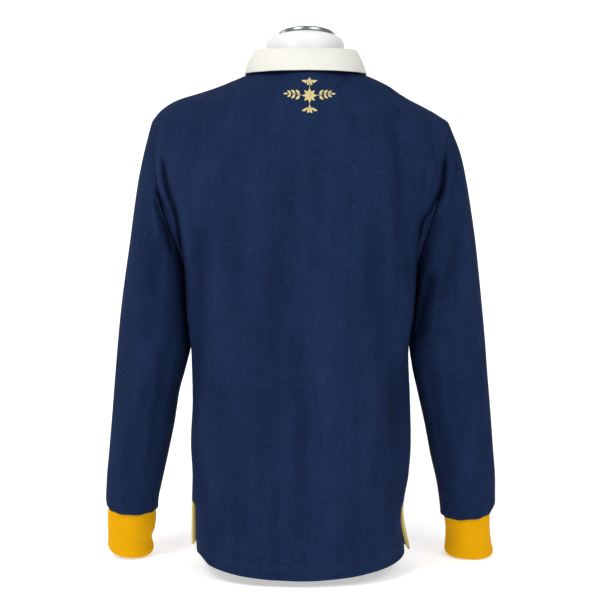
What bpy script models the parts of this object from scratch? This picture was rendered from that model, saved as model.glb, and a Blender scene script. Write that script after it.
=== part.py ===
"""A long-sleeved rugby shirt on a limbless dress form.

Units are metres.  +X is the wearer's right, +Y the way the wearer faces and +Z up.
The origin is on the ground, under the middle of the part's bounding box.  The torso is
one surface, worked out from a table of level slices.  The back and front panels are its
two halves, cut out at the armholes, and the sleeves start from the same armhole curves.
"left" in a name is the -X side.
"""
import math

import bmesh
import bpy
from mathutils import Vector

# ---------------------------------------------------------------- driving sizes
CLOTH = 0.0020            # thickness of the jersey
SEAM_GAP = 0.0003         # room left between sewn pieces
CUFF_CLOTH = 0.0026       # thickness of the doubled knit of the cuffs
COLLAR_CLOTH = 0.0016     # thickness of one layer of the collar's twill
TAPE_CLOTH = 0.0012       # thickness of the vent tape
VENT_TOP = 0.110          # height where the side seams end and the vents open
HEM_SIDE = 0.027          # height of the hem at the side seams
TAIL_DROP = 0.016         # how much lower the back hem is at its middle
FRONT_DROP = 0.004        # the same on the front
HEM_RISE = 0.0060         # how far the back hem curls up beside its left corner
# How much lower the left and the right corner of the hem hang, behind (-1) and in front (1).
HEM_CORNERS = {-1: (-0.0035, 0.0), 1: (-0.0040, 0.0030)}
ARMPIT = 0.475            # height of the bottom of the armholes
SHOULDER_TIP = 0.690      # height of the top of the armholes
NECK_LINE = 0.772         # height of the neck seam at the back and sides
FRONT_NECK_DIP = 0.058    # how far the neck seam dips at the front
NECK_X = 0.009            # the neck sits this far to the right of the middle
VENT_SPREAD = 0.0035      # how far the two edges of a vent stand apart

# Moves the middle of the whole part's bounding box over the origin.
CENTRING = Vector((-0.0009, 0.0050, 0.0))

# Level slices of the torso.  height; x of the left and right side; how deep the back
# and the front are; roundness is the power of the slice's superellipse.
SLICES = (
    # height  left     right   back    front   roundness
    (0.000, -0.1670, 0.1640, 0.1245, 0.1160, 2.50),
    (0.027, -0.1670, 0.1640, 0.1245, 0.1160, 2.50),
    (0.070, -0.1680, 0.1610, 0.1240, 0.1160, 2.50),
    (0.110, -0.1690, 0.1630, 0.1235, 0.1160, 2.55),
    (0.150, -0.1680, 0.1695, 0.1235, 0.1165, 2.60),
    (0.200, -0.1700, 0.1727, 0.1240, 0.1170, 2.60),
    (0.270, -0.1668, 0.1708, 0.1250, 0.1180, 2.60),
    (0.340, -0.1680, 0.1678, 0.1265, 0.1190, 2.60),
    (0.370, -0.1712, 0.1708, 0.1272, 0.1195, 2.60),
    (0.400, -0.1745, 0.1755, 0.1280, 0.1200, 2.60),
    (0.437, -0.1765, 0.1785, 0.1290, 0.1200, 2.60),
    (0.475, -0.1785, 0.1805, 0.1297, 0.1198, 2.60),
    (0.500, -0.1875, 0.1880, 0.1300, 0.1193, 2.55),
    (0.530, -0.2025, 0.2010, 0.1300, 0.1183, 2.48),
    (0.570, -0.2190, 0.2170, 0.1293, 0.1160, 2.40),
    (0.610, -0.2300, 0.2275, 0.1275, 0.1120, 2.28),
    (0.650, -0.2320, 0.2305, 0.1235, 0.1045, 2.12),
    (0.690, -0.2275, 0.2285, 0.1165, 0.0885, 1.93),
    (0.705, -0.2184, 0.2099, 0.1125, 0.0800, 1.84),
    (0.718, -0.2042, 0.1865, 0.1075, 0.0715, 1.74),
    (0.728, -0.1855, 0.1670, 0.1030, 0.0660, 1.66),
    (0.738, -0.1530, 0.1507, 0.0970, 0.0605, 1.60),
    (0.748, -0.1230, 0.1363, 0.0905, 0.0540, 1.60),
    (0.758, -0.0985, 0.1165, 0.0830, 0.0475, 1.68),
    (0.766, -0.0790, 0.0970, 0.0760, 0.0425, 1.82),
    (0.772, -0.0670, 0.0850, 0.0710, 0.0400, 2.00),
)

# Armhole edge of a panel: how far it lies from the side line at each height.
ARMHOLE_BACK = 0.055
ARMHOLE_FRONT = 0.058

# How far out the vents' edges lie at each height, on the left (-1) and the right (1).
VENT_EDGES = {
    -1: (
        # height  back    front
        (0.027, 0.1657, 0.1701),
        (0.041, 0.1662, 0.1708),
        (0.055, 0.1660, 0.1705),
        (0.085, 0.1655, 0.1697),
        (0.101, 0.1655, 0.1695),
        (0.110, 0.1690, 0.1690),
    ),
    1: (
        (0.027, 0.1647, 0.1720),
        (0.041, 0.1630, 0.1693),
        (0.055, 0.1595, 0.1662),
        (0.070, 0.1580, 0.1629),
        (0.085, 0.1583, 0.1606),
        (0.101, 0.1608, 0.1612),
        (0.110, 0.1630, 0.1630),
    ),
}

# Sleeve stations from the armhole to the cuff: x and height of the outer and the inner
# side, depth of the back and front halves, how far forward the middle lies, and the
# lean of the section (degrees).
SLEEVES = {
    "left": (
        # out x    out z   in x     in z   back    front   forward lean
        (-0.2397, 0.6440, -0.1787, 0.4640, 0.0620, 0.0640, 0.000, 0),
        (-0.2478, 0.6060, -0.1780, 0.4500, 0.0660, 0.0660, 0.001, 0),
        (-0.2553, 0.5600, -0.1771, 0.4320, 0.0670, 0.0660, 0.002, 1),
        (-0.2622, 0.5130, -0.1759, 0.4100, 0.0655, 0.0640, 0.004, 2),
        (-0.2700, 0.4640, -0.1739, 0.3840, 0.0625, 0.0610, 0.006, 3),
        (-0.2777, 0.4120, -0.1700, 0.3530, 0.0595, 0.0580, 0.009, 4),
        (-0.2842, 0.3570, -0.1775, 0.3180, 0.0565, 0.0550, 0.013, 5),
        (-0.2902, 0.3000, -0.1895, 0.2750, 0.0535, 0.0525, 0.018, 7),
        (-0.2962, 0.2420, -0.1982, 0.2240, 0.0505, 0.0495, 0.025, 8),
        (-0.3028, 0.1830, -0.2100, 0.1700, 0.0475, 0.0470, 0.033, 9),
        (-0.3089, 0.1300, -0.2212, 0.1220, 0.0440, 0.0440, 0.041, 9),
        (-0.3110, 0.0980, -0.2272, 0.0945, 0.0420, 0.0420, 0.046, 9),
        (-0.3092, 0.0845, -0.2284, 0.0815, 0.0390, 0.0390, 0.048, 9),
    ),
    "right": (
        (0.2465, 0.6440, 0.1808, 0.4640, 0.0620, 0.0640, 0.000, 0),
        (0.2555, 0.6040, 0.1801, 0.4500, 0.0660, 0.0660, 0.001, 0),
        (0.2635, 0.5580, 0.1792, 0.4320, 0.0680, 0.0660, 0.002, 1),
        (0.2707, 0.5120, 0.1774, 0.4100, 0.0665, 0.0640, 0.004, 2),
        (0.2768, 0.4640, 0.1745, 0.3840, 0.0635, 0.0610, 0.006, 3),
        (0.2829, 0.4120, 0.1703, 0.3530, 0.0600, 0.0580, 0.009, 4),
        (0.2890, 0.3570, 0.1748, 0.3180, 0.0570, 0.0550, 0.013, 5),
        (0.2945, 0.3000, 0.1845, 0.2750, 0.0540, 0.0525, 0.018, 7),
        (0.3008, 0.2420, 0.1965, 0.2240, 0.0510, 0.0495, 0.025, 8),
        (0.3067, 0.1830, 0.2074, 0.1700, 0.0480, 0.0470, 0.033, 9),
        (0.3119, 0.1300, 0.2189, 0.1220, 0.0455, 0.0450, 0.041, 9),
        (0.3129, 0.0920, 0.2244, 0.0870, 0.0440, 0.0440, 0.047, 9),
        (0.3078, 0.0780, 0.2262, 0.0715, 0.0390, 0.0390, 0.049, 9),
    ),
}

# Cuffs, the same columns, from just inside the sleeve's end down.
CUFFS = {
    "left": (
        (-0.3062, 0.0875, -0.2312, 0.0845, 0.0362, 0.0362, 0.0476, 9),
        (-0.3088, 0.0700, -0.2314, 0.0670, 0.0360, 0.0360, 0.0500, 9),
        (-0.3104, 0.0470, -0.2348, 0.0450, 0.0350, 0.0355, 0.0535, 10),
        (-0.3108, 0.0320, -0.2405, 0.0290, 0.0352, 0.0355, 0.0553, 13),
        (-0.3112, 0.0188, -0.2377, 0.0098, 0.0360, 0.0360, 0.0575, 16),
    ),
    "right": (
        (0.3042, 0.0810, 0.2302, 0.0750, 0.0362, 0.0362, 0.0486, 9),
        (0.3047, 0.0660, 0.2324, 0.0620, 0.0360, 0.0360, 0.0505, 9),
        (0.3065, 0.0448, 0.2354, 0.0430, 0.0345, 0.0350, 0.0540, 9),
        (0.3090, 0.0270, 0.2360, 0.0280, 0.0352, 0.0355, 0.0563, 9),
        (0.3130, 0.0070, 0.2350, 0.0068, 0.0365, 0.0365, 0.0590, 9),
    ),
}


# ---------------------------------------------------------------- small mathematics
def smooth_step(x):
    """0 below 0, 1 above 1, and an even S between."""
    x = min(max(x, 0.0), 1.0)
    return x * x * (3.0 - 2.0 * x)


def bump(x, centre, half_width):
    """A soft hump of height 1 that dies out half_width to each side of its centre."""
    d = abs(x - centre) / half_width
    return 0.5 + 0.5 * math.cos(math.pi * d) if d < 1.0 else 0.0


def table_row(table, key):
    """Read a table at a key between its rows, on a smooth curve without overshoot."""
    if key <= table[0][0]:
        return table[0][1:]
    if key >= table[-1][0]:
        return table[-1][1:]
    i = max(k for k in range(len(table) - 1) if table[k][0] <= key)
    span = table[i + 1][0] - table[i][0]
    u = (key - table[i][0]) / span

    def slope(k, col):
        before = (table[k][col] - table[k - 1][col]) / (table[k][0] - table[k - 1][0]) if k else None
        after = ((table[k + 1][col] - table[k][col]) / (table[k + 1][0] - table[k][0])
                 if k + 1 < len(table) else None)
        if before is None or after is None:
            return after if before is None else before
        if before * after <= 0.0:
            return 0.0
        return 2.0 * before * after / (before + after)

    out = []
    for col in range(1, len(table[0])):
        a, b = table[i][col], table[i + 1][col]
        ma, mb = slope(i, col) * span, slope(i + 1, col) * span
        out.append((2 * u ** 3 - 3 * u ** 2 + 1) * a + (u ** 3 - 2 * u ** 2 + u) * ma
                   + (3 * u ** 2 - 2 * u ** 3) * b + (u ** 3 - u ** 2) * mb)
    return out


def unit(v):
    return v.normalized() if v.length > 1e-12 else Vector((0.0, 0.0, 1.0))


def grid_normals(rows, wraps, away_from):
    """Unit normals of a grid of points, turned away from the point away_from(row)."""
    last_row, count = len(rows) - 1, len(rows[0])
    out = []
    for i, row in enumerate(rows):
        line = []
        for j in range(count):
            if wraps:
                before, after = row[j - 1], row[(j + 1) % count]
            else:
                before, after = row[max(j - 1, 0)], row[min(j + 1, count - 1)]
            below, above = rows[max(i - 1, 0)][j], rows[min(i + 1, last_row)][j]
            normal = unit((after - before).cross(above - below))
            if normal.dot(row[j] - away_from(i)) < 0.0:
                normal = -normal
            line.append(normal)
        out.append(line)
    return out


def moved(rows, normals, distance):
    return [[p + n * distance for p, n in zip(row, line)] for row, line in zip(rows, normals)]


# ---------------------------------------------------------------- Blender objects
def material(name, colour, roughness, metallic=0.0):
    made = bpy.data.materials.new(name)
    made.use_nodes = True
    shader = made.node_tree.nodes["Principled BSDF"]
    shader.inputs["Base Color"].default_value = (*colour, 1.0)
    shader.inputs["Roughness"].default_value = roughness
    shader.inputs["Metallic"].default_value = metallic
    return made


def solid(name, points, faces, finish):
    """One closed body from its points and faces, with the faces turned outwards."""
    mesh = bpy.data.meshes.new(name)
    mesh.from_pydata([tuple(p + CENTRING) for p in points], [], faces)
    bm = bmesh.new()
    bm.from_mesh(mesh)
    bmesh.ops.recalc_face_normals(bm, faces=bm.faces)
    bm.to_mesh(mesh)
    bm.free()
    mesh.materials.append(finish)
    mesh.shade_smooth()
    made = bpy.data.objects.new(name, mesh)
    bpy.context.scene.collection.objects.link(made)
    return made


def wall(name, outer, inner, wraps, finish):
    """A wall between two grids of points; wraps joins each row's ends into a tube."""
    rows, count = len(outer), len(outer[0])
    points = [p for row in outer for p in row] + [p for row in inner for p in row]
    shift = rows * count
    faces = []
    for i in range(rows - 1):
        for j in range(count if wraps else count - 1):
            a, b = i * count + j, i * count + (j + 1) % count
            c, d = b + count, a + count
            faces.append((a, b, c, d))
            faces.append((shift + d, shift + c, shift + b, shift + a))
    for i in (0, rows - 1):
        for j in range(count if wraps else count - 1):
            a, b = i * count + j, i * count + (j + 1) % count
            faces.append((a, b, shift + b, shift + a))
    if not wraps:
        for j in (0, count - 1):
            for i in range(rows - 1):
                a, b = i * count + j, (i + 1) * count + j
                faces.append((a, b, shift + b, shift + a))
    return solid(name, points, faces, finish)


def stack(name, rings, finish):
    """A solid through rings of points, closed by a flat face at each end."""
    count = len(rings[0])
    points = [p for ring in rings for p in ring]
    faces = []
    for i in range(len(rings) - 1):
        for j in range(count):
            a, b = i * count + j, i * count + (j + 1) % count
            faces.append((a, b, b + count, a + count))
    last = (len(rings) - 1) * count
    faces.append(tuple(range(count)))
    faces.append(tuple(range(last, last + count)))
    return solid(name, points, faces, finish)


# ---------------------------------------------------------------- the torso's surface
EDGE_FACET = 0.018        # share of a panel that its first facet takes, about 12 mm
INNER_FACETS = 26         # even steps across the rest
PANEL_SHARES = (0.0, EDGE_FACET, *(k / INNER_FACETS for k in range(1, INNER_FACETS)),
                1.0 - EDGE_FACET, 1.0)
ARMHOLE_STEPS = 10        # facets along each half of an armhole
SIDE_ROWS = (0.027, 0.041, 0.055, 0.070, 0.085, 0.101, 0.110, 0.155, 0.205, 0.255, 0.305, 0.350, 0.395, 0.437)
SHOULDER_ROWS = (0.705, 0.718, 0.728, 0.738, 0.748, 0.758, 0.766, 0.772)
BACK, FRONT = -1, 1
NEAR = 1e-6               # two heights this close are the same row

# Folds that hang in the panels: half; x and height of the two ends; width to each
# side; depth (a trough is below nought).
PANEL_FOLDS = (
    # half   x0      z0     x1      z1     width  depth
    (BACK, -0.205, 0.640, -0.196, 0.590, 0.020, -0.0045),
    (BACK, -0.196, 0.590, -0.180, 0.520, 0.022, -0.0050),
    (BACK, 0.214, 0.640, 0.206, 0.590, 0.018, -0.0045),
    (BACK, 0.206, 0.590, 0.184, 0.535, 0.020, -0.0055),
    (BACK, -0.150, 0.510, -0.153, 0.330, 0.030, -0.0045),
    (BACK, -0.168, 0.500, -0.166, 0.360, 0.022, 0.0020),
    (BACK, 0.137, 0.680, 0.150, 0.575, 0.028, -0.0045),
    (BACK, 0.158, 0.545, 0.166, 0.440, 0.024, -0.0050),
    (BACK, 0.112, 0.510, 0.120, 0.370, 0.036, -0.0035),
    (BACK, -0.155, 0.150, -0.130, 0.050, 0.030, -0.0040),
    (BACK, -0.048, 0.450, -0.052, 0.120, 0.046, -0.0035),
    (BACK, 0.030, 0.330, 0.044, 0.060, 0.048, 0.0030),
    (FRONT, -0.196, 0.620, -0.178, 0.520, 0.022, -0.0050),
    (FRONT, 0.198, 0.620, 0.180, 0.525, 0.022, -0.0050),
    (FRONT, -0.120, 0.560, -0.132, 0.330, 0.034, -0.0045),
    (FRONT, 0.128, 0.580, 0.136, 0.380, 0.034, -0.0045),
    (FRONT, -0.060, 0.420, -0.078, 0.090, 0.050, -0.0040),
    (FRONT, 0.062, 0.360, 0.050, 0.080, 0.050, 0.0035),
    (FRONT, 0.150, 0.160, 0.124, 0.060, 0.030, -0.0035),
)


def fold_height(folds, half, x, z):
    """Height of the folds over the smooth cloth at one place."""
    total = 0.0
    for which, x0, z0, x1, z1, width, depth in folds:
        if which != half:
            continue
        along = Vector((x1 - x0, z1 - z0))
        share = Vector((x - x0, z - z0)).dot(along) / along.length_squared
        inside = min(max(share, 0.0), 1.0)
        across = math.hypot(x - x0 - along.x * inside, z - z0 - along.y * inside)
        total += depth * bump(across, 0.0, width)
    return total


def slice_point(half, angle, z):
    """A point of the torso: angle runs from the left side (0) to the right side (pi)."""
    left, right, back, front, power = table_row(SLICES, z)
    middle, reach = (left + right) / 2.0, (right - left) / 2.0
    depth = back if half == BACK else front
    c, s = -math.cos(angle), math.sin(angle)
    x = middle + reach * math.copysign(abs(c) ** (2.0 / power), c)
    return Vector((x, half * depth * max(s, 0.0) ** (2.0 / power), z))


def surface_point(half, x, z):
    """The point of the torso's back or front at one x and height."""
    left, right, back, front, power = table_row(SLICES, z)
    across = min(abs(x - (left + right) / 2.0) * 2.0 / (right - left), 1.0)
    depth = back if half == BACK else front
    return Vector((x, half * depth * (1.0 - across ** power) ** (1.0 / power), z))


def armhole_edge(half, z):
    """How far the armhole's edge lies from the side line at a height."""
    if not ARMPIT < z < SHOULDER_TIP:
        return 0.0
    middle, reach = (ARMPIT + SHOULDER_TIP) / 2.0, (SHOULDER_TIP - ARMPIT) / 2.0
    widest = ARMHOLE_BACK if half == BACK else ARMHOLE_FRONT
    return widest * math.sqrt(max(1.0 - ((z - middle) / reach) ** 2, 0.0))


def panel_row(half, z):
    """The angles at which a panel's row starts and ends."""
    _, _, back, front, power = table_row(SLICES, z)
    depth = back if half == BACK else front
    start = math.asin((armhole_edge(half, z) / depth) ** (power / 2.0))
    return start, math.pi - start


def panel_drop(half, x, z):
    """How far a row sags below its ends: the tail at the hem, the neckline on top."""
    across = min(abs(x) / 0.165, 1.0)
    hem = (TAIL_DROP if half == BACK else FRONT_DROP) * (1.0 - across * across)
    if half == BACK:
        hem -= HEM_RISE * bump(x, -0.154, 0.017)
    hem += HEM_CORNERS[half][0 if x < 0.0 else 1] * across ** 5
    drop = hem * (1.0 - smooth_step((z - HEM_SIDE) / 0.13))
    if half == FRONT:
        from_neck = min(abs(x - NECK_X) / 0.078, 1.0)
        dip = FRONT_NECK_DIP * math.cos(from_neck * math.pi / 2.0) ** 2
        drop += dip * smooth_step((z - 0.60) / (NECK_LINE - 0.60))
    return drop


def panel_point(half, share, z):
    """A point of a panel's outer face; share runs across it from left (0) to right (1)."""
    start, end = panel_row(half, z)
    point = slice_point(half, start + (end - start) * share, z)
    low = panel_drop(half, point.x, z)
    if abs(low) > 1e-6:
        point = surface_point(half, point.x, z - low)
    point.y += half * SEAM_GAP / 2.0
    open_vent = smooth_step((VENT_TOP - z) / 0.075)
    side = -1 if share < 0.5 else 1
    near_edge = max(1.0 - min(share, 1.0 - share) / 0.11, 0.0) ** 2
    point.y += half * VENT_SPREAD * open_vent * near_edge
    if z < VENT_TOP:
        left, right = table_row(SLICES, z)[:2]
        edge = side * table_row(VENT_EDGES[side], z)[0 if half == BACK else 1]
        point.x += (edge - (left if side < 0 else right)) * near_edge
    return point


def panel_rows(half):
    """Heights of the rows of a panel, where they meet its edges."""
    middle, reach = (ARMPIT + SHOULDER_TIP) / 2.0, (SHOULDER_TIP - ARMPIT) / 2.0
    armhole = [middle - reach * math.cos(math.pi * k / ARMHOLE_STEPS)
               for k in range(ARMHOLE_STEPS + 1)]
    return [*SIDE_ROWS, *armhole, *SHOULDER_ROWS]


def edge_fade(share, z):
    """0 on a panel's edges and 1 well inside it, so that folds end at the seams."""
    across = smooth_step(min(share, 1.0 - share) / 0.07)
    if z < VENT_TOP:
        across = 1.0 if z < HEM_SIDE + 0.001 else across
    return across * smooth_step((NECK_LINE - z) / 0.04)


def panel(half):
    """A panel's outer points, its normals and the rows' heights."""
    heights = panel_rows(half)
    rows = [[panel_point(half, share, z) for share in PANEL_SHARES] for z in heights]
    middle = Vector((0.0, 0.0, 0.0))

    def inside(i):
        middle.z = heights[i] - 0.03
        return middle

    normals = grid_normals(rows, False, inside)
    for i, z in enumerate(heights):
        for j, share in enumerate(PANEL_SHARES):
            lift = fold_height(PANEL_FOLDS, half, rows[i][j].x, rows[i][j].z)
            rows[i][j] = rows[i][j] + normals[i][j] * lift * edge_fade(share, z)
    normals = grid_normals(rows, False, inside)
    for i, z in enumerate(heights):
        on_seam = VENT_TOP <= z < ARMPIT + NEAR or z > SHOULDER_TIP - NEAR
        for j in (0, -1):
            if on_seam:
                flat = Vector((normals[i][j].x, 0.0, normals[i][j].z))
                normals[i][j] = unit(flat)
    return rows, normals, heights


# ---------------------------------------------------------------- sleeves and cuffs
def station_ring(row, count):
    """A ring of points round a sleeve: outer side, back, inner side, front."""
    out_x, out_z, in_x, in_z, back, front, forward, lean = row
    middle = Vector(((out_x + in_x) / 2.0, forward, (out_z + in_z) / 2.0))
    across = Vector(((out_x - in_x) / 2.0, 0.0, (out_z - in_z) / 2.0))
    tilt = math.radians(lean)
    backwards = Vector((0.0, -math.cos(tilt), -math.sin(tilt)))
    ring = []
    for k in range(count):
        angle = 2.0 * math.pi * k / count
        depth = back if k <= count // 2 else front
        ring.append(middle + across * math.cos(angle) + backwards * depth * math.sin(angle))
    return ring


def armhole_loop(side, back_panel, front_panel):
    """The armhole's points and the panels' normals there: tip, back, armpit, front."""
    column = 0 if side == "left" else -1
    loop, normals = [], []
    first = len(SIDE_ROWS)
    rows = list(range(first, first + ARMHOLE_STEPS + 1))
    for rows_here, (points, facing, _) in ((rows[::-1], back_panel), (rows[1:-1], front_panel)):
        for i in rows_here:
            loop.append(points[i][column].copy())
            normals.append(facing[i][column])
    for k in (0, ARMHOLE_STEPS):
        loop[k].y = 0.0
    return loop, normals


SAME_WAY = 0.6            # a sleeve follows the panel's facing where they nearly agree


def sleeve(side, loop, loop_normals, finish):
    """One sleeve, from its armhole to its cuff."""
    outwards = -1.0 if side == "left" else 1.0
    count = len(loop)
    shift = Vector((outwards * SEAM_GAP * 2.0, 0.0, -SEAM_GAP * 0.8))
    rings = [[p + shift for p in loop]]
    rings += [station_ring(row, count) for row in SLEEVES[side]]
    centres = [sum(ring, Vector()) / count for ring in rings]
    normals = grid_normals(rings, True, lambda i: centres[i])
    for k in range(count):
        if normals[0][k].dot(loop_normals[k]) > SAME_WAY:
            normals[0][k] = loop_normals[k]
    inner = moved(rings, normals, -CLOTH)
    return wall("sleeve_" + side, rings, inner, True, finish)


def cuff(side, count, finish):
    rings = [station_ring(row, count) for row in CUFFS[side]]
    centres = [sum(ring, Vector()) / count for ring in rings]
    normals = grid_normals(rings, True, lambda i: centres[i])
    return wall("cuff_" + side, rings, moved(rings, normals, -CUFF_CLOTH), True, finish)


# ---------------------------------------------------------------- collar
COLLAR_STEPS = 18         # facets from the middle of the back to one front end
FOLD_REACH = 0.0024       # half the width of the rolled top edge
FALL_BELLY = 0.0024       # how far the fall rounds out between its edges
BASE_INSET = 0.0012       # the stand rises this far inside the neck seam's outer edge

# Half the collar, from the middle of the back (0) over the side (0.5) to the front
# end (1): the rolled top edge and the fall's lower edge.  x counts from the neck's middle.
COLLAR = (
    # round top x    top y    top z   low x   low y    low z
    (0.00, 0.0000, -0.0625, 0.8010, 0.0000, -0.0810, 0.7690),
    (0.15, 0.0325, -0.0570, 0.8012, 0.0390, -0.0745, 0.7686),
    (0.30, 0.0595, -0.0385, 0.8020, 0.0710, -0.0520, 0.7678),
    (0.42, 0.0745, -0.0120, 0.8020, 0.0890, -0.0180, 0.7675),
    (0.50, 0.0764, 0.0060, 0.8010, 0.0926, 0.0080, 0.7670),
    (0.62, 0.0710, 0.0280, 0.7940, 0.0925, 0.0430, 0.7480),
    (0.74, 0.0565, 0.0480, 0.7790, 0.0825, 0.0690, 0.7230),
    (0.87, 0.0310, 0.0630, 0.7570, 0.0650, 0.0870, 0.7000),
    (1.00, 0.0050, 0.0700, 0.7400, 0.0460, 0.0975, 0.6820),
)


def neck_seam(side, round_):
    """A point of the neck seam; round_ runs from the back (0) to a front end (1)."""
    if round_ <= 0.5:
        return panel_point(BACK, 0.5 + side * round_, NECK_LINE)
    return panel_point(FRONT, 0.5 + side * (0.5 - (round_ - 0.5) * 0.93), NECK_LINE)


def collar(finish):
    """The stand, the rolled edge and the fall, as one folded strip of twill."""
    centre = Vector((NECK_X, 0.0, 0.0))
    rows = []
    for step in range(-COLLAR_STEPS, COLLAR_STEPS + 1):
        side = -1 if step < 0 else 1
        round_ = abs(step) / COLLAR_STEPS
        values = table_row(COLLAR, round_)
        top = centre + Vector((side * values[0], values[1], values[2]))
        low = centre + Vector((side * values[3], values[4], values[5]))
        base = neck_seam(side, round_)
        away = unit(Vector((low.x - top.x, low.y - top.y, 0.0)))
        base = base - away * BASE_INSET + Vector((0.0, 0.0, BASE_INSET))
        inside = top - away * FOLD_REACH - Vector((0.0, 0.0, FOLD_REACH * 1.2))
        outside = top + away * FOLD_REACH - Vector((0.0, 0.0, FOLD_REACH * 1.2))
        belly = outside.lerp(low, 0.5) + away * FALL_BELLY
        rows.append([base, base.lerp(inside, 0.5), inside, top, outside, belly, low])
    normals = grid_normals(rows, False, lambda i: Vector((NECK_X, 0.0, 0.70)))
    for row, line in zip(rows, normals):
        for j, (point, normal) in enumerate(zip(row, line)):
            outward = Vector((point.x - NECK_X, point.y, 0.0))
            if (normal.dot(outward) < 0.0) != (j < 3):
                line[j] = -normal
        line[3] = Vector((0.0, 0.0, 1.0))
    half = COLLAR_CLOTH / 2.0
    return wall("collar", moved(rows, normals, half), moved(rows, normals, -half), False, finish)


# ---------------------------------------------------------------- placket and buttons
PLACKET_WIDTH = 0.034
PLACKET_TOP = 0.706
PLACKET_BOTTOM = 0.560
BUTTON_RADIUS = 0.0065
BUTTON_THICKNESS = 0.0030
BUTTON_HEIGHTS = (0.690, 0.645, 0.600)
ON_TOP = 0.0005           # room under what lies on a panel


def front_facing(x, z):
    """A point of the smooth front and its outward normal."""
    here = surface_point(FRONT, x, z)
    right = surface_point(FRONT, x + 0.004, z) - here
    up = surface_point(FRONT, x, z + 0.004) - here
    return here + Vector((0.0, SEAM_GAP / 2.0, 0.0)), unit(up.cross(right))


def placket(finish):
    rows, normals = [], []
    steps = 9
    for i in range(steps + 1):
        z = PLACKET_BOTTOM + (PLACKET_TOP - PLACKET_BOTTOM) * i / steps
        pairs = [front_facing(NECK_X + PLACKET_WIDTH * (j / 4.0 - 0.5), z) for j in range(5)]
        rows.append([p for p, _ in pairs])
        normals.append([n for _, n in pairs])
    outer = moved(rows, normals, ON_TOP + COLLAR_CLOTH)
    return wall("placket", outer, moved(rows, normals, ON_TOP), False, finish)


def button(number, z, finish):
    """A round button with a raised rim, flat on the placket."""
    middle, normal = front_facing(NECK_X, z)
    middle = middle + normal * (ON_TOP * 2.0 + COLLAR_CLOTH)
    across = unit(Vector((0.0, 0.0, 1.0)).cross(normal))
    up = normal.cross(across)
    profile = ((0.80, 0.0), (1.0, 0.25), (1.0, 0.75), (0.86, 1.0), (0.66, 0.80))
    sides = 16
    rings = []
    for radius, height in profile:
        ring = []
        for k in range(sides):
            angle = 2.0 * math.pi * k / sides
            spoke = across * math.cos(angle) + up * math.sin(angle)
            ring.append(middle + spoke * BUTTON_RADIUS * radius + normal * BUTTON_THICKNESS * height)
        rings.append(ring)
    return stack("button_%d" % number, rings, finish)


# ---------------------------------------------------------------- vent tapes
def between(grid, row, column):
    """A point of a grid at a row and column that may lie between its points."""
    i, j = min(int(row), len(grid) - 2), min(int(column), len(grid[0]) - 2)
    u, v = row - i, column - j
    low = grid[i][j].lerp(grid[i][j + 1], v)
    return low.lerp(grid[i + 1][j].lerp(grid[i + 1][j + 1], v), u)


def vent_tape(side, inner_face, normals, finish):
    """A tape on the inner face of the front panel, along one vent edge."""
    columns = [0.04, 0.35, 0.66, 0.97]
    if side == "right":
        columns = [len(PANEL_SHARES) - 1 - c for c in columns]
    top_row = SIDE_ROWS.index(VENT_TOP)
    rows = [0.06, *range(1, top_row), top_row - 0.08]
    points = [[between(inner_face, i, j) for j in columns] for i in rows]
    facing = [[unit(between(normals, i, j)) for j in columns] for i in rows]
    near = moved(points, facing, -ON_TOP * 1.8)
    return wall("vent_tape_" + side, near, moved(near, facing, -TAPE_CLOTH), False, finish)


# ---------------------------------------------------------------- the dress form
FORM_CLEAR = 0.0022       # how far the form's shoulders lie under the cloth's slices
FORM_SIDES = 32

# height, left, right, back, front, forward, roundness, forward tilt in degrees
FORM_LOW = (
    (0.000, -0.0800, 0.0800, 0.0480, 0.0540, 0.000, 2.2, 0),
    (0.004, -0.0830, 0.0830, 0.0510, 0.0570, 0.000, 2.2, 0),
    (0.060, -0.0950, 0.0950, 0.0620, 0.0640, 0.000, 2.2, 0),
    (0.150, -0.1140, 0.1140, 0.0780, 0.0770, 0.000, 2.2, 0),
    (0.250, -0.1280, 0.1280, 0.0900, 0.0860, 0.000, 2.2, 0),
    (0.350, -0.1370, 0.1370, 0.0980, 0.0930, 0.000, 2.2, 0),
    (0.450, -0.1460, 0.1460, 0.1040, 0.0970, 0.000, 2.2, 0),
    (0.540, -0.1620, 0.1600, 0.1080, 0.0980, 0.000, 2.2, 0),
    (0.600, -0.1790, 0.1760, 0.1085, 0.0950, 0.000, 2.2, 0),
    (0.645, -0.1930, 0.1890, 0.1070, 0.0900, 0.000, 2.15, 0),
    (0.680, -0.2010, 0.1930, 0.1050, 0.0830, 0.000, 2.05, 0),
    (0.702, -0.2020, 0.1880, 0.1025, 0.0760, 0.000, 1.85, 0),
)
FORM_SHOULDER = (0.716, 0.725, 0.734, 0.743, 0.752, 0.760)
FORM_NECK = (
    (0.768, -0.0590, 0.0770, 0.0600, 0.0430, 0.000, 2.0, 0),
    (0.778, -0.0500, 0.0690, 0.0540, 0.0465, 0.001, 2.0, 2),
    (0.792, -0.0515, 0.0678, 0.0520, 0.0510, 0.004, 2.0, 6),
    (0.806, -0.0517, 0.0680, 0.0515, 0.0530, 0.008, 2.0, 10),
    (0.8140, -0.0505, 0.0668, 0.0500, 0.0515, 0.010, 2.0, 12),
    (0.8190, -0.0476, 0.0637, 0.0478, 0.0490, 0.011, 2.0, 12),
    (0.8220, -0.0395, 0.0565, 0.0440, 0.0450, 0.011, 2.0, 12),
)
CAP_X = 0.0100            # the plate's middle
CAP_RADIUS = 0.0445
CAP_THICKNESS = 0.0052
CAP_PROFILE = ((0.955, 0.0), (1.0, 0.12), (1.0, 0.85), (0.97, 1.0), (0.60, 1.10))


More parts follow.
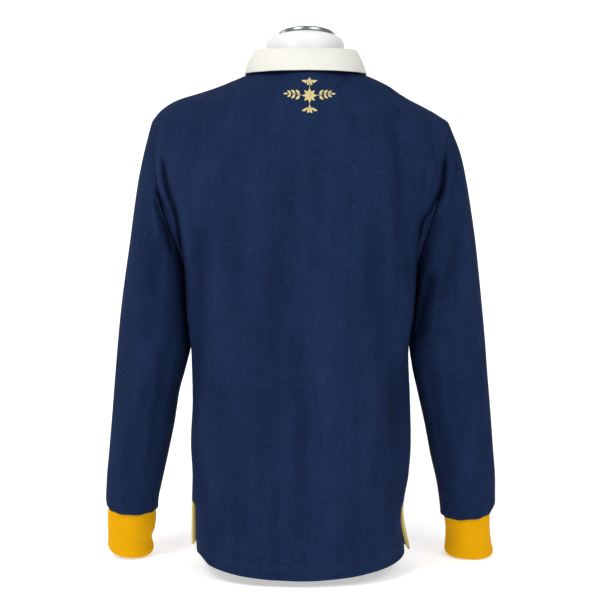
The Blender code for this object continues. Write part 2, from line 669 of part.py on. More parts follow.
def tilted_ring(height, left, right, back, front, forward, power, tilt):
    ring = []
    middle, reach = (left + right) / 2.0, (right - left) / 2.0
    for k in range(FORM_SIDES):
        angle = 2.0 * math.pi * k / FORM_SIDES
        c, s = math.cos(angle), math.sin(angle)
        depth = front if s > 0.0 else back
        x = middle + reach * math.copysign(abs(c) ** (2.0 / power), c)
        y = depth * math.copysign(abs(s) ** (2.0 / power), s)
        ring.append(Vector((x, forward + y, height - y * math.tan(math.radians(tilt)))))
    return ring


def form_torso(finish):
    """The form: a torso on a flat foot, its shoulders under the cloth, and its neck."""
    rows = list(FORM_LOW)
    for z in FORM_SHOULDER:
        left, right, back, front, power = table_row(SLICES, z + FORM_CLEAR)
        rows.append((z, left + FORM_CLEAR, right - FORM_CLEAR, back * 0.93,
                     front * 0.93, 0.0, power, 0))
    rows += FORM_NECK
    return stack("form_torso", [tilted_ring(*row) for row in rows], finish)


def form_cap(finish):
    """The plate on the neck, with its bright rim."""
    height, _, _, _, _, forward, _, tilt = FORM_NECK[-1]
    slope = math.radians(tilt)
    normal = Vector((0.0, math.sin(slope), math.cos(slope)))
    back = Vector((0.0, -math.cos(slope), math.sin(slope)))
    middle = Vector((CAP_X, forward, height)) + normal * SEAM_GAP
    rings = []
    for radius, lift in CAP_PROFILE:
        ring = []
        for k in range(FORM_SIDES):
            angle = 2.0 * math.pi * k / FORM_SIDES
            spoke = Vector((1.0, 0.0, 0.0)) * math.cos(angle) + back * math.sin(angle)
            ring.append(middle + spoke * CAP_RADIUS * radius + normal * CAP_THICKNESS * lift)
        rings.append(ring)
    return stack("form_cap", rings, finish)


# ---------------------------------------------------------------- the whole part
def main():
    for old in list(bpy.data.objects):
        bpy.data.objects.remove(old)
    navy = material("navy_jersey", (0.012, 0.026, 0.080), 0.90)
    yellow = material("yellow_knit", (0.80, 0.42, 0.004), 0.75)
    ivory = material("ivory_twill", (0.86, 0.84, 0.74), 0.80)
    gold = material("gold_tape", (0.72, 0.45, 0.06), 0.80)
    rubber = material("ivory_button", (0.80, 0.77, 0.66), 0.45)
    shell = material("white_form", (0.88, 0.88, 0.88), 0.35)
    chrome = material("chrome", (0.62, 0.65, 0.66), 0.15, 1.0)

    back = panel(BACK)
    front = panel(FRONT)
    wall("body_back", back[0], moved(back[0], back[1], -CLOTH), False, navy)
    front_inner = moved(front[0], front[1], -CLOTH)
    wall("body_front", front[0], front_inner, False, navy)
    for side in ("left", "right"):
        loop, normals = armhole_loop(side, back, front)
        sleeve(side, loop, normals, navy)
        cuff(side, len(loop), yellow)
        vent_tape(side, front_inner, front[1], gold)
    collar(ivory)
    placket(ivory)
    for number, z in enumerate(BUTTON_HEIGHTS, 1):
        button(number, z, rubber)
    form_torso(shell)
    form_cap(chrome)


main()
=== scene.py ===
"""The looks of a long-sleeved rugby shirt on a limbless dress form.

Lengths are metres, in the part's own frame: +X is the wearer's right, +Y the way the
wearer faces and +Z up.  Each cloth piece is a thin closed shell on the form of its
solid, with the creases, hems and sewing added.  "left" in a name is the -X side.
"""

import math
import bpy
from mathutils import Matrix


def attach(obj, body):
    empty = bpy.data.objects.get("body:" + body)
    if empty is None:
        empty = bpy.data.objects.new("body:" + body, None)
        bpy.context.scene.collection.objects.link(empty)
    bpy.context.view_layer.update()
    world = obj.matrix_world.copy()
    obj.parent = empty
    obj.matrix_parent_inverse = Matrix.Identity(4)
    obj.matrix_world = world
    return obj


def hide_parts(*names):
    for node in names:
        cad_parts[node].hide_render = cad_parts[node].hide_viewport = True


bl_info = {
    "name": "Rugby shirt on a dress form",
    "version": (1, 0, 0),
    "blender": (4, 5, 0),
    "location": "View3D > Sidebar > Shirt",
    "description": "Builds the cloth, sewing, buttons, form and studio of a rugby shirt",
    "category": "Object",
}

import bmesh
import bpy
import numpy as np
from bpy.props import FloatProperty, FloatVectorProperty, PointerProperty
from mathutils import Vector
from mathutils.bvhtree import BVHTree

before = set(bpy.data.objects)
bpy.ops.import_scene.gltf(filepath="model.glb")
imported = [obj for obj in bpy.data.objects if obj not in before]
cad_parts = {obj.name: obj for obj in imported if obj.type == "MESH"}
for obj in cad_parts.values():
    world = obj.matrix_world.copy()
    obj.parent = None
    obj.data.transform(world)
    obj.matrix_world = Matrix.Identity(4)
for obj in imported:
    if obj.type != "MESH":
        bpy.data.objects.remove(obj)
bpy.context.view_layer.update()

# ---------------------------------------------------------------- the cut of the shirt
BACK, FRONT = -1, 1
SEAM_GAP = 0.0003         # room left between sewn pieces
VENT_TOP = 0.110          # height where the side seams end and the vents open
HEM_SIDE = 0.027          # height of the hem at the side seams
TAIL_DROP = 0.016         # how much lower the back hem is at its middle
FRONT_DROP = 0.004        # the same on the front
HEM_HALF = 0.165          # half the width of the hem
HEM_SETTLES = 0.13        # height over the hem by which the panels hang level
HEM_RISE = 0.0060         # how far the back hem curls up beside its left corner
HEM_RISE_X = -0.154       # where it curls up most
HEM_RISE_REACH = 0.017    # and how far to each side of that
# How much lower the left and the right corner of the hem hang, behind (-1) and in front (1).
HEM_CORNERS = {BACK: (-0.0035, 0.0), FRONT: (-0.0040, 0.0030)}
ARMPIT = 0.475            # height of the bottom of the armholes
SHOULDER_TIP = 0.690      # height of the top of the armholes
NECK_LINE = 0.772         # height of the neck seam at the back and sides
FRONT_NECK_DIP = 0.058    # how far the neck seam dips at the front
NECK_X = 0.009            # the neck sits this far to the right of the middle
NECK_HALF = 0.078         # half the width of the neckline at the front
NECK_DIP_FROM = 0.60      # height from which the front's rows bend down to the neckline
VENT_SPREAD = 0.0035      # how far the two edges of a vent stand apart
VENT_OPENS_OVER = 0.075   # height in which a vent opens to its full spread
SPREAD_SHARE = 0.11       # share of a panel's width that stands off at an open vent
TURNED_SHARE = 0.20       # share of a panel's width that follows the vent's edge
ARMHOLE_MIDDLE = (ARMPIT + SHOULDER_TIP) / 2.0
ARMHOLE_REACH = (SHOULDER_TIP - ARMPIT) / 2.0
ARMHOLE_HALF = {BACK: 0.055, FRONT: 0.058}   # armhole edge from the side line
CENTRING = np.array((-0.0009, 0.0050, 0.0))  # puts the box's middle over the origin

# How far out the vents' edges lie at each height, on the left (-1) and the right (1).
VENT_EDGES = {
    -1: (
        # height  back    front
        (0.027, 0.1618, 0.1701),
        (0.041, 0.1622, 0.1708),
        (0.055, 0.1620, 0.1705),
        (0.085, 0.1616, 0.1697),
        (0.101, 0.1630, 0.1695),
        (0.110, 0.1690, 0.1690),
    ),
    1: (
        (0.027, 0.1642, 0.1731),
        (0.041, 0.1624, 0.1704),
        (0.055, 0.1588, 0.1671),
        (0.070, 0.1573, 0.1638),
        (0.085, 0.1577, 0.1617),
        (0.101, 0.1600, 0.1618),
        (0.110, 0.1630, 0.1630),
    ),
}

# Level slices of the torso.
SLICES = (
    # height  left     right   back    front   roundness
    (0.000, -0.1670, 0.1640, 0.1245, 0.1160, 2.50),
    (0.027, -0.1670, 0.1640, 0.1245, 0.1160, 2.50),
    (0.070, -0.1680, 0.1610, 0.1240, 0.1160, 2.50),
    (0.110, -0.1690, 0.1630, 0.1235, 0.1160, 2.55),
    (0.150, -0.1680, 0.1695, 0.1235, 0.1165, 2.60),
    (0.200, -0.1700, 0.1727, 0.1240, 0.1170, 2.60),
    (0.270, -0.1668, 0.1708, 0.1250, 0.1180, 2.60),
    (0.340, -0.1680, 0.1678, 0.1265, 0.1190, 2.60),
    (0.370, -0.1712, 0.1708, 0.1272, 0.1195, 2.60),
    (0.400, -0.1745, 0.1755, 0.1280, 0.1200, 2.60),
    (0.437, -0.1765, 0.1785, 0.1290, 0.1200, 2.60),
    (0.475, -0.1785, 0.1805, 0.1297, 0.1198, 2.60),
    (0.500, -0.1875, 0.1880, 0.1300, 0.1193, 2.55),
    (0.530, -0.2025, 0.2010, 0.1300, 0.1183, 2.48),
    (0.570, -0.2190, 0.2170, 0.1293, 0.1160, 2.40),
    (0.610, -0.2300, 0.2275, 0.1275, 0.1120, 2.28),
    (0.650, -0.2320, 0.2305, 0.1235, 0.1045, 2.12),
    (0.690, -0.2275, 0.2285, 0.1165, 0.0885, 1.93),
    (0.705, -0.2184, 0.2099, 0.1125, 0.0800, 1.84),
    (0.718, -0.2042, 0.1865, 0.1075, 0.0715, 1.74),
    (0.728, -0.1855, 0.1670, 0.1030, 0.0660, 1.66),
    (0.738, -0.1530, 0.1507, 0.0970, 0.0605, 1.60),
    (0.748, -0.1230, 0.1363, 0.0905, 0.0540, 1.60),
    (0.758, -0.0985, 0.1165, 0.0830, 0.0475, 1.68),
    (0.766, -0.0790, 0.0970, 0.0760, 0.0425, 1.82),
    (0.772, -0.0670, 0.0850, 0.0710, 0.0400, 2.00),
)

# Sleeve stations from the armhole to the cuff, then the cuffs: x and height of the
# outer and the inner side, depth of the back and front halves, how far forward the
# middle lies, and the lean of the section in degrees.
SLEEVES = {
    "left": (
        # out x    out z   in x     in z   back    front   forward lean
        (-0.2397, 0.6440, -0.1787, 0.4640, 0.0620, 0.0640, 0.000, 0),
        (-0.2478, 0.6060, -0.1780, 0.4500, 0.0660, 0.0660, 0.001, 0),
        (-0.2553, 0.5600, -0.1771, 0.4320, 0.0670, 0.0660, 0.002, 1),
        (-0.2622, 0.5130, -0.1759, 0.4100, 0.0655, 0.0640, 0.004, 2),
        (-0.2700, 0.4640, -0.1739, 0.3840, 0.0625, 0.0610, 0.006, 3),
        (-0.2777, 0.4120, -0.1700, 0.3530, 0.0595, 0.0580, 0.009, 4),
        (-0.2842, 0.3570, -0.1775, 0.3180, 0.0565, 0.0550, 0.013, 5),
        (-0.2902, 0.3000, -0.1895, 0.2750, 0.0535, 0.0525, 0.018, 7),
        (-0.2962, 0.2420, -0.1982, 0.2240, 0.0505, 0.0495, 0.025, 8),
        (-0.3028, 0.1830, -0.2100, 0.1700, 0.0475, 0.0470, 0.033, 9),
        (-0.3089, 0.1300, -0.2212, 0.1220, 0.0440, 0.0440, 0.041, 9),
        (-0.3110, 0.0980, -0.2272, 0.0945, 0.0420, 0.0420, 0.046, 9),
        (-0.3092, 0.0845, -0.2284, 0.0815, 0.0390, 0.0390, 0.048, 9),
    ),
    "right": (
        (0.2465, 0.6440, 0.1808, 0.4640, 0.0620, 0.0640, 0.000, 0),
        (0.2555, 0.6040, 0.1801, 0.4500, 0.0660, 0.0660, 0.001, 0),
        (0.2635, 0.5580, 0.1792, 0.4320, 0.0680, 0.0660, 0.002, 1),
        (0.2707, 0.5120, 0.1774, 0.4100, 0.0665, 0.0640, 0.004, 2),
        (0.2768, 0.4640, 0.1745, 0.3840, 0.0635, 0.0610, 0.006, 3),
        (0.2829, 0.4120, 0.1703, 0.3530, 0.0600, 0.0580, 0.009, 4),
        (0.2890, 0.3570, 0.1748, 0.3180, 0.0570, 0.0550, 0.013, 5),
        (0.2945, 0.3000, 0.1845, 0.2750, 0.0540, 0.0525, 0.018, 7),
        (0.3008, 0.2420, 0.1965, 0.2240, 0.0510, 0.0495, 0.025, 8),
        (0.3067, 0.1830, 0.2074, 0.1700, 0.0480, 0.0470, 0.033, 9),
        (0.3119, 0.1300, 0.2189, 0.1220, 0.0455, 0.0450, 0.041, 9),
        (0.3129, 0.0920, 0.2244, 0.0870, 0.0440, 0.0440, 0.047, 9),
        (0.3078, 0.0780, 0.2262, 0.0715, 0.0390, 0.0390, 0.049, 9),
    ),
}
CUFFS = {
    "left": (
        (-0.3062, 0.0875, -0.2312, 0.0845, 0.0362, 0.0362, 0.0476, 9),
        (-0.3088, 0.0700, -0.2314, 0.0670, 0.0360, 0.0360, 0.0500, 9),
        (-0.3104, 0.0470, -0.2348, 0.0450, 0.0350, 0.0355, 0.0535, 10),
        (-0.3108, 0.0320, -0.2405, 0.0290, 0.0352, 0.0355, 0.0553, 13),
        (-0.3112, 0.0188, -0.2377, 0.0098, 0.0360, 0.0360, 0.0575, 16),
    ),
    "right": (
        (0.3042, 0.0810, 0.2302, 0.0750, 0.0362, 0.0362, 0.0486, 9),
        (0.3047, 0.0660, 0.2324, 0.0620, 0.0360, 0.0360, 0.0505, 9),
        (0.3065, 0.0448, 0.2354, 0.0430, 0.0345, 0.0350, 0.0540, 9),
        (0.3090, 0.0270, 0.2360, 0.0280, 0.0352, 0.0355, 0.0563, 9),
        (0.3130, 0.0070, 0.2350, 0.0068, 0.0365, 0.0365, 0.0590, 9),
    ),
}

# Half the collar, from the middle of the back (0) over the side (0.5) to the front
# end (1): the rolled top edge and the fall's lower edge.  x counts from the neck's middle.
COLLAR = (
    # round top x    top y    top z   low x   low y    low z
    (0.00, 0.0000, -0.0625, 0.8010, 0.0000, -0.0810, 0.7690),
    (0.15, 0.0325, -0.0570, 0.8012, 0.0390, -0.0745, 0.7686),
    (0.30, 0.0595, -0.0385, 0.8020, 0.0710, -0.0520, 0.7678),
    (0.42, 0.0745, -0.0120, 0.8020, 0.0890, -0.0180, 0.7675),
    (0.50, 0.0764, 0.0060, 0.8010, 0.0926, 0.0080, 0.7670),
    (0.62, 0.0710, 0.0280, 0.7940, 0.0925, 0.0430, 0.7480),
    (0.74, 0.0565, 0.0480, 0.7790, 0.0825, 0.0690, 0.7230),
    (0.87, 0.0310, 0.0630, 0.7570, 0.0650, 0.0870, 0.7000),
    (1.00, 0.0050, 0.0700, 0.7400, 0.0460, 0.0975, 0.6820),
)

# Creases, from top to bottom, in the plane of the view from behind: height (a trough is
# below nought); reach towards +X and towards -X; sharpness of the line from 0 to 1; and
# (x, z) along it.
CREASES = {
    BACK: (
        # height to +X  to -X  sharp  places
        # left armhole and underarm
        (-0.0125, 0.006, 0.008, 0.50, ((-0.207, 0.656), (-0.200, 0.613), (-0.195, 0.591),
            (-0.187, 0.570), (-0.182, 0.551), (-0.180, 0.521), (-0.178, 0.480))),
        (0.0050, 0.009, 0.010, 0.10, ((-0.217, 0.650), (-0.210, 0.613), (-0.205, 0.590),
            (-0.198, 0.567), (-0.193, 0.549), (-0.190, 0.520))),
        (-0.0100, 0.009, 0.010, 0.60, ((-0.182, 0.551), (-0.180, 0.521), (-0.178, 0.486),
            (-0.174, 0.445), (-0.173, 0.403), (-0.171, 0.353), (-0.170, 0.300))),
        (0.0040, 0.012, 0.010, 0.20, ((-0.190, 0.640), (-0.183, 0.600), (-0.172, 0.560),
            (-0.166, 0.500), (-0.163, 0.400))),
        (-0.0075, 0.006, 0.006, 0.45, ((-0.217, 0.597), (-0.208, 0.577), (-0.199, 0.558),
            (-0.187, 0.540))),
        (-0.0085, 0.006, 0.007, 0.40, ((-0.222, 0.588), (-0.212, 0.563), (-0.204, 0.545),
            (-0.197, 0.524), (-0.191, 0.485))),
        (0.0030, 0.007, 0.008, 0.20, ((-0.216, 0.583), (-0.208, 0.562), (-0.199, 0.540))),
        (0.0035, 0.009, 0.009, 0.20, ((-0.226, 0.600), (-0.217, 0.555), (-0.208, 0.510))),
        (-0.0085, 0.018, 0.024, 0.05, ((-0.142, 0.580), (-0.147, 0.500), (-0.150, 0.422),
            (-0.152, 0.340), (-0.152, 0.250))),
        (-0.0045, 0.018, 0.024, 0.05, ((-0.212, 0.530), (-0.218, 0.465), (-0.226, 0.410),
            (-0.236, 0.340))),
        # right armhole and underarm
        (-0.0050, 0.007, 0.007, 0.50, ((0.196, 0.662), (0.200, 0.645), (0.205, 0.612))),
        (-0.0130, 0.006, 0.009, 0.60, ((0.222, 0.656), (0.217, 0.630), (0.215, 0.610),
            (0.210, 0.588), (0.196, 0.564), (0.181, 0.542), (0.178, 0.505))),
        (0.0050, 0.009, 0.008, 0.10, ((0.231, 0.646), (0.227, 0.615), (0.222, 0.590),
            (0.208, 0.566), (0.194, 0.545))),
        (-0.0110, 0.009, 0.009, 0.70, ((0.190, 0.556), (0.181, 0.542), (0.178, 0.521),
            (0.178, 0.498), (0.177, 0.457), (0.176, 0.420), (0.173, 0.361), (0.171, 0.300))),
        (-0.0120, 0.015, 0.013, 0.10, ((0.200, 0.480), (0.194, 0.441), (0.186, 0.409),
            (0.180, 0.355))),
        (0.0045, 0.010, 0.012, 0.20, ((0.206, 0.660), (0.198, 0.620), (0.186, 0.585),
            (0.168, 0.560))),
        (-0.0040, 0.008, 0.008, 0.25, ((0.236, 0.636), (0.231, 0.615), (0.224, 0.578))),
        (-0.0055, 0.016, 0.018, 0.10, ((0.241, 0.545), (0.237, 0.515), (0.227, 0.460),
            (0.209, 0.405))),
        (0.0050, 0.004, 0.009, 0.80, ((0.250, 0.590), (0.253, 0.541), (0.258, 0.472),
            (0.262, 0.400), (0.264, 0.330), (0.261, 0.280), (0.255, 0.200))),
        (-0.0068, 0.016, 0.022, 0.10, ((0.126, 0.722), (0.134, 0.677), (0.143, 0.624),
            (0.150, 0.565), (0.157, 0.500), (0.164, 0.425))),
        (-0.0075, 0.026, 0.030, 0.00, ((0.104, 0.600), (0.108, 0.518), (0.112, 0.438),
            (0.124, 0.360), (0.136, 0.270), (0.140, 0.180))),
        (-0.0066, 0.012, 0.030, 0.00, ((0.160, 0.400), (0.160, 0.320), (0.156, 0.240),
            (0.150, 0.150), (0.142, 0.060))),
        (-0.0026, 0.010, 0.010, 0.10, ((0.183, 0.630), (0.184, 0.582))),
        # the hang of the back
        (-0.0035, 0.016, 0.020, 0.05, ((-0.160, 0.230), (-0.150, 0.160), (-0.136, 0.095),
            (-0.120, 0.030))),
        (-0.0022, 0.026, 0.028, 0.00, ((-0.086, 0.330), (-0.088, 0.240), (-0.092, 0.150),
            (-0.090, 0.050))),
        (-0.0022, 0.030, 0.026, 0.00, ((0.010, 0.400), (0.012, 0.280), (0.006, 0.160),
            (0.010, 0.040))),
        (-0.0030, 0.048, 0.044, 0.00, ((-0.044, 0.640), (-0.046, 0.580), (-0.047, 0.434),
            (-0.050, 0.285), (-0.054, 0.080))),
        (0.0028, 0.050, 0.046, 0.00, ((0.040, 0.560), (0.044, 0.434), (0.041, 0.286),
            (0.046, 0.080))),
        (0.0022, 0.040, 0.040, 0.00, ((-0.122, 0.660), (-0.125, 0.506), (-0.128, 0.356))),
        (-0.0030, 0.030, 0.034, 0.00, ((0.112, 0.250), (0.122, 0.150), (0.118, 0.070))),
        # forearms
        (-0.0040, 0.016, 0.012, 0.10, ((-0.204, 0.380), (-0.213, 0.300), (-0.226, 0.210),
            (-0.238, 0.140))),
        (-0.0050, 0.020, 0.014, 0.10, ((0.196, 0.350), (0.207, 0.270), (0.223, 0.190),
            (0.238, 0.120))),
        (-0.0030, 0.018, 0.020, 0.10, ((-0.232, 0.300), (-0.246, 0.240), (-0.262, 0.190))),
        (-0.0026, 0.016, 0.018, 0.10, ((-0.276, 0.220), (-0.268, 0.160), (-0.262, 0.110))),
        (-0.0030, 0.018, 0.020, 0.10, ((0.232, 0.320), (0.238, 0.250), (0.247, 0.180))),
        (-0.0024, 0.014, 0.016, 0.10, ((0.290, 0.240), (0.285, 0.170), (0.276, 0.105))),
    ),
    FRONT: (   # much as the back
        (-0.0101, 0.013, 0.011, 0.45, ((-0.205, 0.630), (-0.194, 0.580), (-0.184, 0.530),
            (-0.178, 0.470), (-0.173, 0.390), (-0.170, 0.310))),
        (-0.0101, 0.011, 0.013, 0.45, ((0.208, 0.630), (0.196, 0.580), (0.184, 0.530),
            (0.178, 0.470), (0.175, 0.390), (0.171, 0.310))),
        (-0.0054, 0.012, 0.010, 0.30, ((-0.216, 0.590), (-0.200, 0.550), (-0.192, 0.500))),
        (-0.0054, 0.012, 0.010, 0.30, ((0.216, 0.580), (0.202, 0.545), (0.192, 0.495))),
        (0.0041, 0.013, 0.013, 0.20, ((-0.184, 0.610), (-0.168, 0.555), (-0.163, 0.460))),
        (0.0041, 0.013, 0.013, 0.20, ((0.186, 0.615), (0.168, 0.560), (0.163, 0.470))),
        (-0.0061, 0.030, 0.028, 0.05, ((-0.112, 0.600), (-0.120, 0.520), (-0.132, 0.340))),
        (-0.0061, 0.028, 0.030, 0.05, ((0.120, 0.610), (0.130, 0.500), (0.136, 0.360))),
        (-0.0068, 0.022, 0.024, 0.10, ((-0.196, 0.450), (-0.206, 0.400), (-0.222, 0.330))),
        (-0.0068, 0.024, 0.022, 0.10, ((0.198, 0.450), (0.208, 0.400), (0.224, 0.330))),
        (-0.0046, 0.016, 0.018, 0.20, ((-0.222, 0.330), (-0.242, 0.300), (-0.262, 0.285))),
        (-0.0046, 0.016, 0.018, 0.20, ((0.222, 0.320), (0.244, 0.292), (0.266, 0.280))),
        (-0.0049, 0.044, 0.050, 0.00, ((-0.064, 0.440), (-0.070, 0.280), (-0.078, 0.080))),
        (0.0043, 0.050, 0.046, 0.00, ((0.064, 0.400), (0.058, 0.250), (0.050, 0.070))),
        (-0.0049, 0.026, 0.030, 0.05, ((0.150, 0.200), (0.138, 0.130), (0.124, 0.060))),
        (-0.0035, 0.016, 0.018, 0.10, ((-0.280, 0.230), (-0.272, 0.170), (-0.266, 0.105))),
        (-0.0035, 0.016, 0.018, 0.10, ((0.284, 0.230), (0.274, 0.170), (0.268, 0.105))),
        (-0.0038, 0.018, 0.016, 0.10, ((-0.226, 0.430), (-0.239, 0.350), (-0.250, 0.270))),
        (-0.0034, 0.014, 0.016, 0.10, ((-0.292, 0.260), (-0.283, 0.195), (-0.270, 0.140))),
        (-0.0036, 0.016, 0.018, 0.10, ((0.300, 0.270), (0.287, 0.205), (0.270, 0.150))),
        (-0.0032, 0.014, 0.016, 0.10, ((0.234, 0.320), (0.246, 0.250), (0.258, 0.185))),
        (0.0034, 0.030, 0.032, 0.00, ((0.064, 0.540), (0.074, 0.410), (0.068, 0.260),
            (0.076, 0.090))),
        (-0.0036, 0.036, 0.034, 0.00, ((-0.058, 0.500), (-0.064, 0.380), (-0.073, 0.250),
            (-0.082, 0.070))),
        (-0.0030, 0.024, 0.028, 0.00, ((0.120, 0.300), (0.128, 0.200), (0.122, 0.080))),
    ),
}

# Slow waves that keep the cloth from lying dead smooth: waves a metre along x and
# along z, where each starts (turns), and its share of the softness.
SLOW_WAVES = (
    # along x  along z  start  share
    (7.0, 2.6, 0.13, 0.30),
    (-11.0, 4.1, 0.57, 0.24),
    (16.0, -6.3, 0.31, 0.17),
    (5.0, 12.0, 0.83, 0.14),
    (-23.0, 15.0, 0.07, 0.09),
    (29.0, 19.0, 0.69, 0.06),
)


# ---------------------------------------------------------------- sizes and colours
class ShirtSizes(bpy.types.PropertyGroup):
    jersey: FloatProperty(
        name="Jersey", description="Thickness of the heavy jersey",
        default=0.0018, min=0.001, max=0.003, unit="LENGTH")
    knit: FloatProperty(
        name="Cuff knit", description="Thickness of the doubled knit of the cuffs",
        default=0.0026, min=0.001, max=0.003, unit="LENGTH")
    twill: FloatProperty(
        name="Collar twill", description="Thickness of the collar's cloth",
        default=0.0016, min=0.001, max=0.003, unit="LENGTH")
    tape: FloatProperty(
        name="Tape", description="Thickness of the vent tape",
        default=0.0009, min=0.0005, max=0.003, unit="LENGTH")
    grid: FloatProperty(
        name="Grid", description="Spacing of the points across the cloth",
        default=0.0037, min=0.002, max=0.02, unit="LENGTH")
    hem: FloatProperty(
        name="Hem", description="Height of the turned hem",
        default=0.021, min=0.01, max=0.04, unit="LENGTH")
    stitch_pitch: FloatProperty(
        name="Stitch pitch", description="Distance from one stitch to the next",
        default=0.0032, min=0.002, max=0.008, unit="LENGTH")
    thread: FloatProperty(
        name="Thread", description="Radius of the sewing thread",
        default=0.00032, min=0.0001, max=0.001, unit="LENGTH")
    creases: FloatProperty(
        name="Creases", description="Depth of the creases, as a share of the set ones",
        default=1.0, min=0.0, max=2.0, subtype="FACTOR")
    softness: FloatProperty(
        name="Softness", description="Height of the slow waves in the cloth",
        default=0.0020, min=0.0, max=0.006, unit="LENGTH")


def colour(name, description, default):
    """A colour of the sidebar."""
    return FloatVectorProperty(name=name, description=description, default=default,
                               size=3, min=0.0, max=1.0, subtype="COLOR")


class ShirtColours(bpy.types.PropertyGroup):
    navy: colour("Jersey", "Body and sleeves", (0.0100, 0.0225, 0.0680))
    yellow: colour("Cuffs", "Knit of the cuffs", (0.860, 0.420, 0.0020))
    ivory: colour("Collar", "Twill of the collar and placket", (0.770, 0.760, 0.695))
    gold: colour("Vent tape", "Twill tape in the vents", (0.790, 0.640, 0.210))
    needlework: colour("Needlework", "Thread of the flower motif", (0.700, 0.600, 0.270))
    rubber: colour("Buttons", "Rubber of the buttons", (0.790, 0.760, 0.650))
    form: colour("Form", "Shell of the dress form", (0.770, 0.785, 0.785))
    plate: colour("Neck plate", "Bright metal of the neck plate", (0.330, 0.360, 0.355))
    floor: colour("Floor", "Studio floor and backdrop", (0.900, 0.900, 0.900))


# ---------------------------------------------------------------- small mathematics
def smooth_step(x):
    """0 below 0, 1 above 1, and an even S between."""
    x = np.clip(x, 0.0, 1.0)
    return x * x * (3.0 - 2.0 * x)


def bump(x, centre, half_width):
    """A soft hump of height 1 that dies out half_width to each side of its centre."""
    return 0.5 + 0.5 * np.cos(np.pi * np.clip(np.abs(x - centre) / half_width, 0.0, 1.0))


def rounded(part, power):
    """A cosine or sine drawn out from a circle (power 2) towards a rounded oblong."""
    return np.copysign(np.abs(part) ** (2.0 / power), part)


def table_values(table, keys):
    """Read a table's columns at many keys, on smooth curves without overshoot."""
    data = np.asarray(table, float)
    at, values = data[:, 0], data[:, 1:]
    slope = np.diff(values, axis=0) / np.diff(at)[:, None]
    before, after = slope[:-1], slope[1:]
    total = np.where(before * after > 0.0, before + after, 1.0)
    inner = np.where(before * after > 0.0, 2.0 * before * after / total, 0.0)
    tangent = np.vstack((slope[:1], inner, slope[-1:]))
    keys = np.clip(keys, at[0], at[-1])
    i = np.clip(np.searchsorted(at, keys, side="right") - 1, 0, len(at) - 2)
    span = (at[i + 1] - at[i])[..., None]
    u = (keys - at[i])[..., None] / span
    from_start, from_end = 2 * u ** 3 - 3 * u ** 2 + 1, 3 * u ** 2 - 2 * u ** 3
    leaving, arriving = u ** 3 - 2 * u ** 2 + u, u ** 3 - u ** 2
    return (from_start * values[i] + leaving * span * tangent[i]
            + from_end * values[i + 1] + arriving * span * tangent[i + 1])


def unit(vectors):
    """Vectors of the same ways, each of length 1."""
    length = np.linalg.norm(vectors, axis=-1, keepdims=True)
    return vectors / np.maximum(length, 1e-12)


def lengths_along(grid, axis):
    """How far each point of a grid lies along its row or column."""
    steps = np.linalg.norm(np.diff(grid, axis=axis), axis=2)
    start = np.zeros_like(steps.take([0], axis=axis))
    return np.concatenate((start, np.cumsum(steps, axis=axis)), axis=axis)


CLOSE_STEPS = (0.0, 0.0007, 0.0019, 0.0038)   # first points from a cloth's edge


def fine_edges(length, pitch):
    """Shares from 0 to 1 of a length: even steps, with close ones at both ends."""
    close = np.array(CLOSE_STEPS) / length
    inner = np.linspace(close[-1], 1.0 - close[-1], max(int(length / pitch), 3) + 1)[1:-1]
    return np.concatenate((close, inner, 1.0 - close[::-1]))


def spread_evenly(rows, shares):
    """Move the points of each row to given shares of the row's own length."""
    along = lengths_along(rows, 1)
    out = np.empty((len(rows), len(shares), 3))
    for i, line in enumerate(rows):
        for axis in range(3):
            out[i, :, axis] = np.interp(shares * along[i, -1], along[i], line[:, axis])
    return out


def fill_between(rings, pitch, middle_only=False):
    """Rows on smooth curves through a few rings, close together at both ends."""
    gaps = np.linalg.norm(np.diff(rings, axis=0), axis=2).mean(axis=1)
    along = np.concatenate(((0.0,), np.cumsum(gaps)))
    if middle_only:
        keys = np.linspace(0.0, along[-1], int(along[-1] / pitch) + 1)
    else:
        keys = fine_edges(along[-1], pitch) * along[-1]
    table = np.column_stack((along, rings.reshape(len(rings), -1)))
    return table_values(table, keys).reshape(len(keys), *rings.shape[1:])


def grid_normals(grid, wraps, outwards):
    """Unit normals of a grid, turned the way that most of outwards points."""
    if wraps:
        across = np.roll(grid, -1, axis=1) - np.roll(grid, 1, axis=1)
    else:
        across = np.gradient(grid, axis=1)
    normals = unit(np.cross(across, np.gradient(grid, axis=0)))
    return normals * np.sign((normals * outwards).sum(axis=2).mean())


# ---------------------------------------------------------------- the cloth's form
def slice_points(half, angle, z):
    """Points of the torso: the angle runs from the left side (0) to the right (pi)."""
    left, right, back, front, power = np.moveaxis(table_values(SLICES, z), -1, 0)
    depth = back if half == BACK else front
    c, s = -np.cos(angle), np.maximum(np.sin(angle), 0.0)
    x = (left + right) / 2.0 + (right - left) / 2.0 * rounded(c, power)
    return np.stack((x, half * depth * s ** (2.0 / power), z + 0.0 * x), axis=-1)


def depth_at(half, x, z):
    """How far back or forward the torso reaches at places of its view from behind."""
    left, right, back, front, power = np.moveaxis(table_values(SLICES, z), -1, 0)
    across = np.minimum(np.abs(x - (left + right) / 2.0) * 2.0 / (right - left), 1.0)
    return half * (back if half == BACK else front) * (1.0 - across ** power) ** (1.0 / power)


